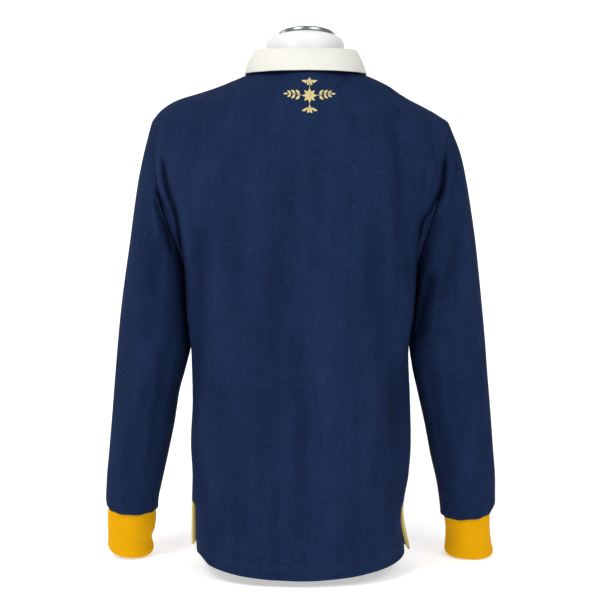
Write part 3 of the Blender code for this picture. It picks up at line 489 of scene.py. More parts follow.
def panel_drop(half, x, z):
    """How far a row sags below its ends: the tail at the hem, the neckline on top."""
    across = np.minimum(np.abs(x) / HEM_HALF, 1.0)
    hem = (TAIL_DROP if half == BACK else FRONT_DROP) * (1.0 - across * across)
    if half == BACK:
        hem = hem - HEM_RISE * bump(x, HEM_RISE_X, HEM_RISE_REACH)
    low_left, low_right = HEM_CORNERS[half]
    hem = hem + np.where(x < 0.0, low_left, low_right) * across ** 5
    drop = hem * (1.0 - smooth_step((z - HEM_SIDE) / HEM_SETTLES))
    if half == FRONT:
        from_neck = np.minimum(np.abs(x - NECK_X) / NECK_HALF, 1.0)
        dip = FRONT_NECK_DIP * np.cos(from_neck * np.pi / 2.0) ** 2
        drop = drop + dip * smooth_step((z - NECK_DIP_FROM) / (NECK_LINE - NECK_DIP_FROM))
    return drop


def panel_points(half, share, height):
    """Points of a panel's smooth outer face, at shares across it and at heights."""
    share, height = np.broadcast_arrays(np.asarray(share, float), np.asarray(height, float))
    _, _, back, front, power = np.moveaxis(table_values(SLICES, height), -1, 0)
    depth = back if half == BACK else front
    from_middle = (height - ARMHOLE_MIDDLE) / ARMHOLE_REACH
    edge = ARMHOLE_HALF[half] * np.sqrt(np.maximum(1.0 - from_middle ** 2, 0.0))
    start = np.arcsin((edge / depth) ** (power / 2.0))
    points = slice_points(half, start + (np.pi - 2.0 * start) * share, height)
    x = points[..., 0]
    points[..., 2] -= panel_drop(half, x, height)
    points[..., 1] = np.where(np.abs(points[..., 2] - height) > 1e-6,
                              depth_at(half, x, points[..., 2]), points[..., 1])
    open_vent = smooth_step((VENT_TOP - height) / VENT_OPENS_OVER)
    from_edge = np.minimum(share, 1.0 - share)
    near_edge = np.maximum(1.0 - from_edge / SPREAD_SHARE, 0.0) ** 2
    points[..., 1] += half * (SEAM_GAP / 2.0 + VENT_SPREAD * open_vent * near_edge)
    sides = table_values(SLICES, height)
    column = 0 if half == BACK else 1
    to_left = -table_values(VENT_EDGES[-1], height)[..., column] - sides[..., 0]
    to_right = table_values(VENT_EDGES[1], height)[..., column] - sides[..., 1]
    turned_in = smooth_step(1.0 - from_edge / TURNED_SHARE)
    shift = np.where(share < 0.5, to_left, to_right) * turned_in
    points[..., 0] += np.where(height < VENT_TOP, shift, 0.0)
    return points


ROUTE_STEPS = 6           # places worked out along a crease for each one given
CREASE_FADE = 0.22        # share of a crease over which it fades out at each end
# Creases show where a normal's share along Y is over the first, and fully from there to
# the second more.
FACING_FROM, FACING_OVER = 0.10, 0.40
STILL_HALF = 0.050        # half the width of the band at the placket without slow waves
STILL_FROM = 0.50         # height at which that band starts
STILL_OVER = 0.06         # and over which the waves die out in it


def crease_height(half, x, z):
    """How far the creases and slow waves lift the cloth at places of one half."""
    sizes = bpy.context.scene.shirt_sizes
    total = np.zeros_like(x)
    for height, to_right, to_left, sharp, places in CREASES[half]:
        total += height * sizes.creases * crease_shape(x, z, to_right, to_left, sharp, places)
    waves = sum(share * np.sin(2.0 * np.pi * (along_x * x + along_z * z + start * (1.5 + half)))
                for along_x, along_z, start, share in SLOW_WAVES)
    if half == FRONT:
        placket = bump(x, NECK_X, STILL_HALF) * smooth_step((z - STILL_FROM) / STILL_OVER)
        waves = waves * (1.0 - placket)
    return total + waves * sizes.softness


def crease_shape(x, z, to_right, to_left, sharp, places):
    """One crease of height 1: a line with a soft roll to each side, fading at its ends."""
    places = np.array(places)
    keys = np.linspace(0.0, 1.0, ROUTE_STEPS * len(places))
    marks = lengths_along(places[None, :, :].astype(float), 1)[0]
    route = table_values(np.column_stack((marks / marks[-1], places)), keys)
    reach = max(to_right, to_left)
    low, high = route.min(axis=0) - reach, route.max(axis=0) + reach
    near = (x > low[0]) & (x < high[0]) & (z > low[1]) & (z < high[1])
    here = np.stack((x[near], z[near]), axis=-1)
    best = np.full(len(here), 1.0)
    side, share = np.ones(len(here)), np.zeros(len(here))
    for k in range(len(route) - 1):
        step = route[k + 1] - route[k]
        from_start = here - route[k]
        t = np.clip(from_start @ step / (step @ step), 0.0, 1.0)
        away = from_start - t[:, None] * step
        distance = np.hypot(away[:, 0], away[:, 1])
        closer = distance < best
        best = np.where(closer, distance, best)
        which_side = np.sign(from_start[:, 0] * -step[1] + from_start[:, 1] * step[0])
        side = np.where(closer, which_side, side)
        share = np.where(closer, keys[k] + t * (keys[k + 1] - keys[k]), share)
    q = np.clip(best / np.where(side > 0.0, to_right, to_left), 0.0, 1.0)
    profile = (1.0 - sharp) * (0.5 + 0.5 * np.cos(np.pi * q)) + sharp * (1.0 - q) ** 3
    out = np.zeros_like(x)
    fade = smooth_step(share / CREASE_FADE)
    out[near] = profile * fade * smooth_step((1.0 - share) / CREASE_FADE)
    return out


def with_creases(grid, normals, halves):
    """Push the cloth in and out, most where it faces backwards or forwards.

    Returns the creased points and how far each was lifted."""
    grid = grid.copy()
    facing = smooth_step((np.abs(normals[..., 1]) - FACING_FROM) / FACING_OVER)
    lift = np.zeros(grid.shape[:2])
    for half in (BACK, FRONT):
        lift = np.where(halves == half, crease_height(half, grid[..., 0], grid[..., 2]), lift)
    grid[..., 1] += halves * lift * facing
    return grid, lift


ARMHOLE_ROWS = 65
SHOULDER_ROWS = 62
SHOULDER_CROWDING = 1.35  # the more over 1, the closer the rows lie towards the neck
FIRST_ROW = 0.012         # share of the side seam below the first of the even rows
PANEL_SAMPLES = 401       # places that a row's even spacing is read from
PANEL_WIDTH = 0.42        # about the length of a row, from side to side
EDGE_BAND = 0.085         # width of the finer columns at each side
EDGE_STEP = 0.0021        # and their spacing
CLOSE_GAP = 0.0020        # room between the close first columns and the finer ones
INNER_COLUMNS = 56
INNER_GAP = 0.008         # share of a row from the finer columns to the others


def panel_sheet(half):
    """The creased outer face of the back or the front."""
    sizes = bpy.context.scene.shirt_sizes
    side_length, top_length = ARMPIT - HEM_SIDE, NECK_LINE - SHOULDER_TIP
    close = np.array(CLOSE_STEPS) / side_length
    even = np.linspace(FIRST_ROW, 1.0, int(side_length / sizes.grid))
    side = HEM_SIDE + side_length * np.concatenate((close, even))
    armhole = ARMHOLE_MIDDLE - ARMHOLE_REACH * np.cos(np.linspace(0.0, np.pi, ARMHOLE_ROWS))
    rise = np.linspace(0.0, 1.0, SHOULDER_ROWS)
    top = SHOULDER_TIP + top_length * (1.0 - (1.0 - rise) ** SHOULDER_CROWDING)
    heights = np.concatenate((side[:-1], armhole[:-1], top))
    rows = panel_points(half, np.linspace(0.0, 1.0, PANEL_SAMPLES)[None, :], heights[:, None])
    fine = np.arange(CLOSE_STEPS[-1] + CLOSE_GAP, EDGE_BAND, EDGE_STEP)
    by_edge = np.concatenate((CLOSE_STEPS, fine)) / PANEL_WIDTH
    inner = np.linspace(by_edge[-1] + INNER_GAP, 1.0 - INNER_GAP - by_edge[-1], INNER_COLUMNS)
    shares = np.concatenate((by_edge, inner, 1.0 - by_edge[::-1]))
    grid = spread_evenly(rows, shares)
    outwards = np.array((0.0, half, 0.0))
    grid, lift = with_creases(grid, grid_normals(grid, False, outwards), half)
    return sheet(grid, False, outwards, sizes.jersey, heights, lift)


def station_rings(table, count):
    """Rings of points round a sleeve: outer side, back, inner side, front."""
    angle = np.linspace(0.0, 2.0 * np.pi, count, endpoint=False)
    rings = []
    for out_x, out_z, in_x, in_z, back, front, forward, lean in table:
        middle = np.array(((out_x + in_x) / 2.0, forward, (out_z + in_z) / 2.0))
        across = np.array(((out_x - in_x) / 2.0, 0.0, (out_z - in_z) / 2.0))
        backwards = np.array((0.0, -math.cos(math.radians(lean)), -math.sin(math.radians(lean))))
        depth = np.where(angle <= np.pi + 1e-9, back, front)
        rings.append(middle + np.outer(np.cos(angle), across)
                     + np.outer(np.sin(angle) * depth, backwards))
    return np.array(rings)


SLEEVE_POINTS = 136       # points round a sleeve
SLEEVE_GAP = 0.8          # room between a sleeve and the panels, as a share of SEAM_GAP
TUCKS = 11                # small gathers where a sleeve is sewn to its cuff
TUCK_DRIFT = 1.3          # how unevenly they lie round it
TUCK_HEIGHT = 0.0007
TUCK_REACH = 0.028        # how far they run up the sleeve
CUFF_POINTS = 112         # points round a cuff
CUFF_GRID = 0.0026        # spacing of its rows
CUFF_WAVES = (
    # height  round  down
    (0.0007, 3.0, 5.0),
    (0.0005, 5.0, -4.0),
)
CUFF_ROLL = 0.0006        # how far its lower edge rounds out
CUFF_ROLL_AT, CUFF_ROLL_OVER = 0.97, 0.20    # as shares of its height


def tube_halves(rows, count):
    """Which half of the view each point of a tube belongs to."""
    return np.where(np.arange(count) <= count // 2, BACK, FRONT) + np.zeros((rows, 1), int)


def sleeve_sheet(side):
    """The creased outer face of a sleeve, from the armhole to the gathers at its cuff."""
    sizes = bpy.context.scene.shirt_sizes
    share = 0.0 if side == "left" else 1.0
    outwards = -1.0 if side == "left" else 1.0
    turn = np.linspace(0.0, np.pi, SLEEVE_POINTS // 2 + 1)
    heights = ARMHOLE_MIDDLE + ARMHOLE_REACH * np.cos(turn)
    loop = np.vstack((panel_points(BACK, share, heights),
                      panel_points(FRONT, share, heights)[-2:0:-1]))
    loop[[0, SLEEVE_POINTS // 2], 1] = 0.0
    loop += np.array((outwards * SEAM_GAP * SLEEVE_GAP, 0.0, 0.0))
    rings = np.vstack((loop[None], station_rings(SLEEVES[side], SLEEVE_POINTS)))
    grid = fill_between(rings, sizes.grid)
    from_axis = grid - grid.mean(axis=1, keepdims=True)
    normals = grid_normals(grid, True, from_axis)
    grid, lift = with_creases(grid, normals, tube_halves(len(grid), SLEEVE_POINTS))
    to_cuff = lengths_along(grid, 0).max(axis=0) - lengths_along(grid, 0)
    around = np.linspace(0.0, 2.0 * np.pi, SLEEVE_POINTS, endpoint=False)
    tucks = np.sin(around * TUCKS + TUCK_DRIFT * np.sin(2.0 * around))
    tucks = tucks * (1.0 - smooth_step(to_cuff / TUCK_REACH))
    grid += normals * (tucks * TUCK_HEIGHT)[..., None]
    return sheet(grid, True, from_axis, sizes.jersey, None, lift)


def cuff_sheet(side):
    """The outer face of a cuff, soft and a little uneven."""
    sizes = bpy.context.scene.shirt_sizes
    grid = fill_between(station_rings(CUFFS[side], CUFF_POINTS), CUFF_GRID)
    from_axis = grid - grid.mean(axis=1, keepdims=True)
    normals = grid_normals(grid, True, from_axis)
    around = np.linspace(0.0, 2.0 * np.pi, CUFF_POINTS, endpoint=False)
    down = np.linspace(0.0, 1.0, len(grid))[:, None]
    soft = sum(height * np.sin(round_it * around + down_it * down)
               for height, round_it, down_it in CUFF_WAVES)
    soft = soft + CUFF_ROLL * bump(down, CUFF_ROLL_AT, CUFF_ROLL_OVER)
    grid += normals * soft[..., None]
    return sheet(grid, True, from_axis, sizes.knit, None)


ROLLED_BAND = 1.2         # an edge rounds over this many thicknesses of the cloth
LEAST_THICKNESS = 0.40    # share of the thickness that is left at the very edge


def sheet(grid, wraps, outwards, thickness, heights, lift=None):
    """A cloth's outer and inner face, its edges rolled in, and where each point lies."""
    normals = grid_normals(grid, wraps, outwards)
    across, down = lengths_along(grid, 1), lengths_along(grid, 0)
    to_edge = np.minimum(down, down.max(axis=0) - down)
    if not wraps:
        to_edge = np.minimum(to_edge, np.minimum(across, across[:, -1:] - across))
    roll = np.clip(1.0 - to_edge / (thickness * ROLLED_BAND), 0.0, 1.0)
    half = thickness / 2.0 * np.maximum(np.sqrt(1.0 - roll ** 2), LEAST_THICKNESS)
    middle = grid - normals * (thickness / 2.0)
    return {
        "outer": middle + normals * half[..., None],
        "inner": middle - normals * half[..., None],
        "flat_inner": grid - normals * thickness, "normals": normals, "wraps": wraps,
        "across": across, "down": down, "heights": heights, "lift": lift,
    }


# ---------------------------------------------------------------- meshes
MADE = {}                 # sheets that later pieces are sewn to, by name
LIFT_SCALE = 100.0        # the "crease" attribute holds a cloth's lift in centimetres


def add_object(name, data):
    """Put a mesh, a lamp or a camera into the scene."""
    made = bpy.data.objects.new(name, data)
    bpy.context.scene.collection.objects.link(made)
    return made


def mesh_object(name, points, faces, finish, uvs=None, replaced=()):
    """A smooth object that rides with the part, from points, faces and corner UVs."""
    mesh = bpy.data.meshes.new(name)
    mesh.from_pydata((np.asarray(points) + CENTRING).tolist(), [], faces)
    if uvs is not None:
        layer = mesh.uv_layers.new(name="cloth")
        layer.uv.foreach_set("vector", np.asarray(uvs, float).ravel())
    bm = bmesh.new()
    bm.from_mesh(mesh)
    bmesh.ops.recalc_face_normals(bm, faces=bm.faces)
    bm.to_mesh(mesh)
    bm.free()
    mesh.materials.append(finish)
    mesh.shade_smooth()
    made = add_object(name, mesh)
    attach(made, "root")
    if replaced:
        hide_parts(*replaced)
    return made


def grid_faces(rows, columns, wraps):
    """Corner numbers of a grid's quads, with the row and column of each corner."""
    i, j = np.meshgrid(np.arange(rows - 1), np.arange(columns if wraps else columns - 1),
                       indexing="ij")
    i, j = i.ravel(), j.ravel()
    row = np.stack((i, i, i + 1, i + 1), axis=1)
    column = np.stack((j, j + 1, j + 1, j), axis=1)
    return row * columns + column % columns, row, column


def cloth_object(name, made, finish, replaced=()):
    """The closed wall of a sheet: its outer face, its inner face and its edges."""
    rows, columns = made["across"].shape
    wraps = made["wraps"]
    quads, row, column = grid_faces(rows, columns, wraps)
    across, down = made["across"], made["down"]
    if wraps:
        last = np.linalg.norm(made["outer"][:, 0] - made["outer"][:, -1], axis=1)
        across = np.column_stack((across, across[:, -1] + last))
    else:
        across = across - across[:, -1:] / 2.0
    uv = np.stack((across[row, column], down[row, column % columns]), axis=-1)
    shift = rows * columns
    faces, uvs = [quads, quads[:, ::-1] + shift], [uv, uv[:, ::-1]]
    lines = [np.arange(columns), (rows - 1) * columns + np.arange(columns)]
    if not wraps:
        lines += [np.arange(rows) * columns, np.arange(rows) * columns + columns - 1]
    for number, line in enumerate(lines):
        after = np.roll(line, -1) if wraps and number < 2 else line[1:]
        before = line if wraps and number < 2 else line[:-1]
        edge = np.stack((before, after, after + shift, before + shift), axis=1)
        faces.append(edge)
        corners = edge % shift
        uvs.append(np.stack((across[:, :columns].ravel()[corners], down.ravel()[corners]), axis=-1))
    points = np.concatenate((made["outer"].reshape(-1, 3), made["inner"].reshape(-1, 3)))
    MADE[name] = made
    cloth = mesh_object(name, points, np.concatenate(faces).tolist(), finish,
                        np.concatenate(uvs), replaced)
    if made["lift"] is not None:
        # the lift, kept as the "crease" attribute that drives the painted crease shade and
        # highlight
        layer = cloth.data.attributes.new("crease", "FLOAT", "POINT")
        layer.data.foreach_set("value", np.tile(made["lift"].ravel(), 2) * LIFT_SCALE)
    return cloth


def made_sheet(name):
    """A sheet that an earlier step has made."""
    if name not in MADE:
        raise RuntimeError(name + " has to be built first")
    return MADE[name]


def turned(name, profile, middle, axis, sides, finish, replaced=()):
    """A solid turned round an axis, from (radius, height) steps, closed at both ends."""
    axis = Vector(axis).normalized()
    across = axis.orthogonal().normalized()
    up = axis.cross(across)
    angle = np.linspace(0.0, 2.0 * np.pi, sides, endpoint=False)
    spokes = np.outer(np.cos(angle), across) + np.outer(np.sin(angle), up)
    rings = [np.array(middle) + spokes * radius + np.array(axis) * height
             for radius, height in profile]
    return ring_object(name, np.array(rings), finish, replaced)


def ring_object(name, rings, finish, replaced=()):
    """A closed solid through rings of points, with a fan of faces at each end."""
    count, sides = rings.shape[:2]
    quads, _, _ = grid_faces(count, sides, True)
    points = np.vstack((rings.reshape(-1, 3), rings[0].mean(axis=0), rings[-1].mean(axis=0)))
    faces = quads.tolist()
    for ring, tip in ((0, count * sides), (count - 1, count * sides + 1)):
        faces += [(ring * sides + k, ring * sides + (k + 1) % sides, tip) for k in range(sides)]
    return mesh_object(name, points, faces, finish, replaced=replaced)


# ---------------------------------------------------------------- sewing
def at_places(made, row, column, face="outer"):
    """Points and normals of a sheet at rows and columns between its own."""
    rows, columns = made["across"].shape
    i, j = np.clip(row.astype(int), 0, rows - 2), column.astype(int)
    if made["wraps"]:
        v = (column - j)[:, None]
        j = j % columns
    else:
        j = np.clip(j, 0, columns - 2)
        v = (column - j)[:, None]
    u, after = (row - i)[:, None], (j + 1) % columns
    out = []
    for grid in (made[face], made["normals"]):
        low = grid[i, j] * (1.0 - v) + grid[i, after] * v
        high = grid[i + 1, j] * (1.0 - v) + grid[i + 1, after] * v
        out.append(low * (1.0 - u) + high * u)
    return out[0], unit(out[1])


def row_line(made, distance, from_top=False, margin=0):
    """A line across a sheet at one distance from its lower or upper edge."""
    down = made["down"]
    columns = np.arange(margin, down.shape[1] - margin)
    rows = []
    for j in columns:
        mark = down[-1, j] - distance if from_top else distance
        rows.append(np.interp(mark, down[:, j], np.arange(len(down))))
    if made["wraps"]:
        columns = np.append(columns, down.shape[1])
        rows.append(rows[0])
    return at_places(made, np.array(rows), columns.astype(float))


def edge_line(made, distance, side, low, high, face="outer"):
    """A line beside a panel's left or right edge, between two heights."""
    across = made["across"]
    rows = np.arange(len(across))[(made["heights"] >= low) & (made["heights"] <= high)]
    columns = []
    for i in rows:
        mark = distance if side < 0 else across[i, -1] - distance
        columns.append(np.interp(mark, across[i], np.arange(across.shape[1])))
    return at_places(made, rows.astype(float), np.array(columns), face)


STITCH_SIDES = 5
# Rings of a stitch: how far along its length, then its width and its lift in radii.
STITCH_RINGS = ((-0.50, 0.35, -0.6), (-0.28, 0.90, 0.35), (0.28, 0.90, 0.35), (0.50, 0.35, -0.6))
STITCH_AIM = 0.3          # a stitch points from this share of a pitch before it to as much behind


def at_marks(marks, along, values):
    """Values read at marks of a length, each column for itself."""
    return np.column_stack([np.interp(marks, along, column) for column in values.T])


def stitches(name, lines, pitch, radius, finish, length=0.74):
    """Raised threads one after another along lines of points and normals."""
    points, faces = [], []
    quads, _, _ = grid_faces(len(STITCH_RINGS), STITCH_SIDES, True)
    turn = np.linspace(0.0, 2.0 * np.pi, STITCH_SIDES, endpoint=False)
    for places, normals in lines:
        steps = np.linalg.norm(np.diff(places, axis=0), axis=1)
        along = np.concatenate(((0.0,), np.cumsum(steps)))
        count = max(int(along[-1] / pitch), 1)
        marks = (np.arange(count) + 0.5) * along[-1] / count
        aim = pitch * STITCH_AIM
        centre = at_marks(marks, along, places)
        ahead = unit(at_marks(marks + aim, along, places) - at_marks(marks - aim, along, places))
        up = unit(at_marks(marks, along, normals))
        beside = np.cross(ahead, up)
        for c, a, n, b in zip(centre, ahead, up, beside):
            start = len(points) * len(STITCH_RINGS) * STITCH_SIDES
            rings = [c + a * share * pitch * length + n * radius * lift
                     + radius * width * (np.outer(np.cos(turn), b) + np.outer(np.sin(turn), n))
                     for share, width, lift in STITCH_RINGS]
            points.append(np.concatenate(rings))
            faces.append(quads + start)
    return mesh_object(name, np.concatenate(points), np.concatenate(faces).tolist(), finish)


# ---------------------------------------------------------------- finishes
def node(tree, kind, inputs=(), **settings):
    """Add a node, set it up, and link or set its inputs by name or number."""
    made = tree.nodes.new(kind)
    for key, value in settings.items():
        setattr(made, key, value)
    for name, value in dict(inputs).items():
        if isinstance(value, bpy.types.NodeSocket):
            tree.links.new(value, made.inputs[name])
        else:
            made.inputs[name].default_value = value
    return made


def maths(tree, operation, *values):
    """The result of a calculation on numbers and sockets."""
    return node(tree, "ShaderNodeMath", dict(enumerate(values)), operation=operation).outputs[0]


def effect(name, inputs, outputs):
    """A named shader group with its sockets; returns its tree and its input sockets."""
    tree = bpy.data.node_groups.new(name, "ShaderNodeTree")
    kinds = {"colour": "NodeSocketColor", "value": "NodeSocketFloat", "vector": "NodeSocketVector"}
    for label, kind, default in inputs:
        socket = tree.interface.new_socket(label, in_out="INPUT", socket_type=kinds[kind])
        if default is not None:
            socket.default_value = default
    for label, kind in outputs:
        tree.interface.new_socket(label, in_out="OUTPUT", socket_type=kinds[kind])
    return tree, tree.nodes.new("NodeGroupInput").outputs


def finish_effect(tree, results):
    """Link an effect's results to its outputs."""
    out = tree.nodes.new("NodeGroupOutput")
    for label, socket in results.items():
        tree.links.new(socket, out.inputs[label])
    return tree


LEG_SLANT = 1.3           # how steeply the legs of a knit loop slant
LOOP_HEIGHT, RIB_HEIGHT = 0.30, 0.45


def jersey_stitches():
    """Columns of V-shaped knit loops, as a height."""
    tree, given = effect("Jersey stitches",
                         (("Place", "vector", None), ("Wale", "value", 0.0012),
                          ("Course", "value", 0.0010)), (("Height", "value"),))
    place = node(tree, "ShaderNodeSeparateXYZ", {0: given["Place"]})
    wale = maths(tree, "DIVIDE", place.outputs["X"], given["Wale"])
    course = maths(tree, "DIVIDE", place.outputs["Y"], given["Course"])
    leg = maths(tree, "PINGPONG", wale, 0.5)
    slanted = maths(tree, "ADD", course, maths(tree, "MULTIPLY", leg, LEG_SLANT))
    loop = maths(tree, "SINE", maths(tree, "MULTIPLY", slanted, 2.0 * math.pi))
    rib = maths(tree, "SINE", maths(tree, "MULTIPLY", leg, 2.0 * math.pi))
    height = maths(tree, "ADD", maths(tree, "MULTIPLY", loop, LOOP_HEIGHT),
                   maths(tree, "MULTIPLY", rib, RIB_HEIGHT))
    return finish_effect(tree, {"Height": height})


def thread_lines():
    """Even ridges along slanted lines: ribs, twill and laid threads, as a height."""
    tree, given = effect("Thread lines",
                         (("Place", "vector", None), ("Pitch", "value", 0.001),
                          ("Slant", "value", 0.0)), (("Height", "value"),))
    place = node(tree, "ShaderNodeSeparateXYZ", {0: given["Place"]})
    lean = maths(tree, "MULTIPLY", place.outputs["Y"], given["Slant"])
    across = maths(tree, "DIVIDE", maths(tree, "ADD", place.outputs["X"], lean), given["Pitch"])
    wave = maths(tree, "SINE", maths(tree, "MULTIPLY", across, 2.0 * math.pi))
    return finish_effect(tree, {"Height": maths(tree, "MULTIPLY_ADD", wave, 0.5, 0.5)})


CLOUD_SCALE, STREAK_SCALE = 22.0, 46.0   # clouds and streaks of the dye in a metre
STREAK_DRAWN = 0.10       # streaks are drawn out in height to this share of the scale


def noise(tree, place, scale, detail, roughness):
    """Soft noise over the object, from 0 to 1."""
    return node(tree, "ShaderNodeTexNoise", {"Vector": place, "Scale": scale, "Detail": detail,
                                             "Roughness": roughness}).outputs[0]


def swing(tree, pattern, share):
    """A pattern from 0 to 1, made to swing by a share to both sides of nought."""
    return maths(tree, "MULTIPLY", maths(tree, "MULTIPLY_ADD", pattern, 2.0, -1.0), share)


def mottling():
    """Uneven dye and fuzz: a colour that drifts between lighter and darker, and a height."""
    tree, given = effect("Mottling",
                         (("Colour", "colour", (0.5, 0.5, 0.5, 1.0)), ("Cloudy", "value", 0.10),
                          ("Streaky", "value", 0.0), ("Speckled", "value", 0.10),
                          ("Speck", "value", 0.004)),
                         (("Colour", "colour"), ("Height", "value")))
    place = node(tree, "ShaderNodeTexCoord").outputs["Object"]
    clouds = noise(tree, place, CLOUD_SCALE, 3.0, 0.6)
    drawn = node(tree, "ShaderNodeVectorMath", {0: place, 1: (1.0, 1.0, STREAK_DRAWN)},
                 operation="MULTIPLY").outputs[0]
    streaks = noise(tree, drawn, STREAK_SCALE, 2.0, 0.5)
    specks = noise(tree, place, maths(tree, "DIVIDE", 1.0, given["Speck"]), 4.0, 0.7)
    cloudy = swing(tree, clouds, given["Cloudy"])
    specky = swing(tree, specks, given["Speckled"])
    streaky = swing(tree, streaks, given["Streaky"])
    factor = maths(tree, "ADD", maths(tree, "ADD", 1.0, streaky),
                   maths(tree, "ADD", cloudy, specky))
    tint = node(tree, "ShaderNodeVectorMath", {0: given["Colour"], 3: factor}, operation="SCALE")
    return finish_effect(tree, {"Colour": tint.outputs[0], "Height": specks})


DEEPEST, HIGHEST = -1.0, 0.5   # range of the lift, in centimetres, that paints shade into the creases and a highlight onto the ridges


def painted_crease_shade():
    """A colour with painted shade down in the creases and a little painted highlight on the ridges
    between.
    """
    tree, given = effect("Painted crease shade",
                         (("Colour", "colour", (0.5, 0.5, 0.5, 1.0)), ("Strength", "value", 0.5)),
                         (("Colour", "colour"),))
    # painted shade and highlight: the cloth's lift darkens its colour in the creases and lightens
    # it on the ridges
    lift = node(tree, "ShaderNodeAttribute", attribute_name="crease").outputs["Fac"]
    held = node(tree, "ShaderNodeClamp", {"Value": lift, "Min": DEEPEST, "Max": HIGHEST}).outputs[0]
    factor = maths(tree, "MULTIPLY_ADD", held, given["Strength"], 1.0)
    tint = node(tree, "ShaderNodeVectorMath", {0: given["Colour"], 3: factor}, operation="SCALE")
    return finish_effect(tree, {"Colour": tint.outputs[0]})


def group(tree, effect_tree, inputs):
    """The outputs of a named effect placed in a material with its own values."""
    return node(tree, "ShaderNodeGroup", inputs, node_tree=effect_tree).outputs


def shared(name, maker):
    """The shader group of that name, made the first time it is asked for."""
    return bpy.data.node_groups.get(name) or maker()


def new_finish(name):
    """A new material, its nodes and its shader."""
    made = bpy.data.materials.new(name)
    made.use_nodes = True
    return made, made.node_tree, made.node_tree.nodes["Principled BSDF"]


SHEEN_ROUGHNESS = 0.5
GLOSS_SWING = 0.12        # how far a hard surface's roughness varies in all


def cloth_finish(name, base, cloudy, speckled, speck, weave, depth, roughness, sheen=0.0,
                 fuzz=0.0003, gloss=0.15, shade=0.0, streaky=0.0):
    """A cloth: drifting colour, and a bump of its weave and of its fuzz; with shade, also painted
    shade in its creases and painted highlight on its ridges.
    """
    existing = bpy.data.materials.get(name)
    if existing:
        return existing
    made, tree, shader = new_finish(name)
    dyed = group(tree, shared("Mottling", mottling),
                 {"Colour": (*base, 1.0), "Cloudy": cloudy, "Streaky": streaky,
                  "Speckled": speckled, "Speck": speck})
    place = node(tree, "ShaderNodeUVMap", uv_map="cloth").outputs[0]
    kind, values = weave
    makers = {"Jersey stitches": jersey_stitches, "Thread lines": thread_lines}
    woven = group(tree, shared(kind, makers[kind]), {"Place": place, **values})
    first = node(tree, "ShaderNodeBump", {"Height": woven["Height"], "Distance": depth,
                                          "Strength": 1.0})
    second = node(tree, "ShaderNodeBump", {"Height": dyed["Height"], "Distance": fuzz,
                                           "Strength": 1.0, "Normal": first.outputs[0]})
    # painted shade in the creases and painted highlight on the ridges, from the cloth's lift
    if shade:
        dyed = group(tree, shared("Painted crease shade", painted_crease_shade),
                     {"Colour": dyed["Colour"], "Strength": shade})
    tree.links.new(dyed["Colour"], shader.inputs["Base Color"])
    tree.links.new(second.outputs[0], shader.inputs["Normal"])
    shader.inputs["Roughness"].default_value = roughness
    shader.inputs["Sheen Weight"].default_value = sheen
    shader.inputs["Sheen Roughness"].default_value = SHEEN_ROUGHNESS
    shader.inputs["Specular IOR Level"].default_value = gloss
    return made


def plain_finish(name, base, roughness, metallic=0.0, speckled=0.02, depth=0.00005, scale=0.01,
                 coat=0.0):
    """A hard surface with a slightly uneven colour, gloss and skin."""
    existing = bpy.data.materials.get(name)
    if existing:
        return existing
    made, tree, shader = new_finish(name)
    dyed = group(tree, shared("Mottling", mottling),
                 {"Colour": (*base, 1.0), "Cloudy": speckled, "Speckled": speckled, "Speck": scale})
    uneven = maths(tree, "MULTIPLY_ADD", dyed["Height"], GLOSS_SWING, roughness - GLOSS_SWING / 2.0)
    skin = node(tree, "ShaderNodeBump", {"Height": dyed["Height"], "Distance": depth,
                                         "Strength": 1.0})
    tree.links.new(dyed["Colour"], shader.inputs["Base Color"])
    tree.links.new(uneven, shader.inputs["Roughness"])
    tree.links.new(skin.outputs[0], shader.inputs["Normal"])
    shader.inputs["Metallic"].default_value = metallic
    shader.inputs["Coat Weight"].default_value = coat
    return made


THREAD_SHADE = 0.90       # the navy thread is this much of the jersey's colour


def navy_jersey():
    """Heavy cotton jersey: streaky dye, knit loops, a dull surface, and painted shade in its
    creases with painted highlight on its ridges.
    """
    # shade paints shade into the creases and a highlight onto the ridges
    return cloth_finish("heavy jersey", bpy.context.scene.shirt_colours.navy, cloudy=0.20,
                        speckled=0.60, speck=0.0042, streaky=0.30, shade=0.28,
                        weave=("Jersey stitches", {"Wale": 0.00125, "Course": 0.00105}),
                        depth=0.00022, roughness=0.95, gloss=0.05)


def yellow_knit():
    """Ribbed knit of the cuffs."""
    return cloth_finish("rib knit", bpy.context.scene.shirt_colours.yellow, cloudy=0.05,
                        speckled=0.08, speck=0.003,
                        weave=("Thread lines", {"Pitch": 0.0019, "Slant": 0.0}),
                        depth=0.00045, roughness=0.90, gloss=0.05)


def ivory_twill():
    """Twill of the collar and the placket."""
    return cloth_finish("collar twill", bpy.context.scene.shirt_colours.ivory, cloudy=0.02,
                        speckled=0.03, speck=0.002,
                        weave=("Thread lines", {"Pitch": 0.0011, "Slant": 0.8}),
                        depth=0.00012, roughness=0.80, sheen=0.05)


def gold_twill():
    """Twill of the vent tapes."""
    return cloth_finish("tape twill", bpy.context.scene.shirt_colours.gold, cloudy=0.03,
                        speckled=0.06, speck=0.002,
                        weave=("Thread lines", {"Pitch": 0.0012, "Slant": 1.0}),
                        depth=0.00018, roughness=0.75, sheen=0.08)


def needlework_thread():
    """Bright thread, laid in satin stitch."""
    return cloth_finish("needlework thread", bpy.context.scene.shirt_colours.needlework,
                        cloudy=0.03, speckled=0.08, speck=0.0015,
                        weave=("Thread lines", {"Pitch": 0.00055, "Slant": 0.35}),
                        depth=0.00016, roughness=0.42, sheen=0.05, fuzz=0.00004)


def sewing_thread(name, base, roughness, speckled):
    """Sewing thread of one colour."""
    return plain_finish(name, base, roughness, speckled=speckled, scale=0.001)


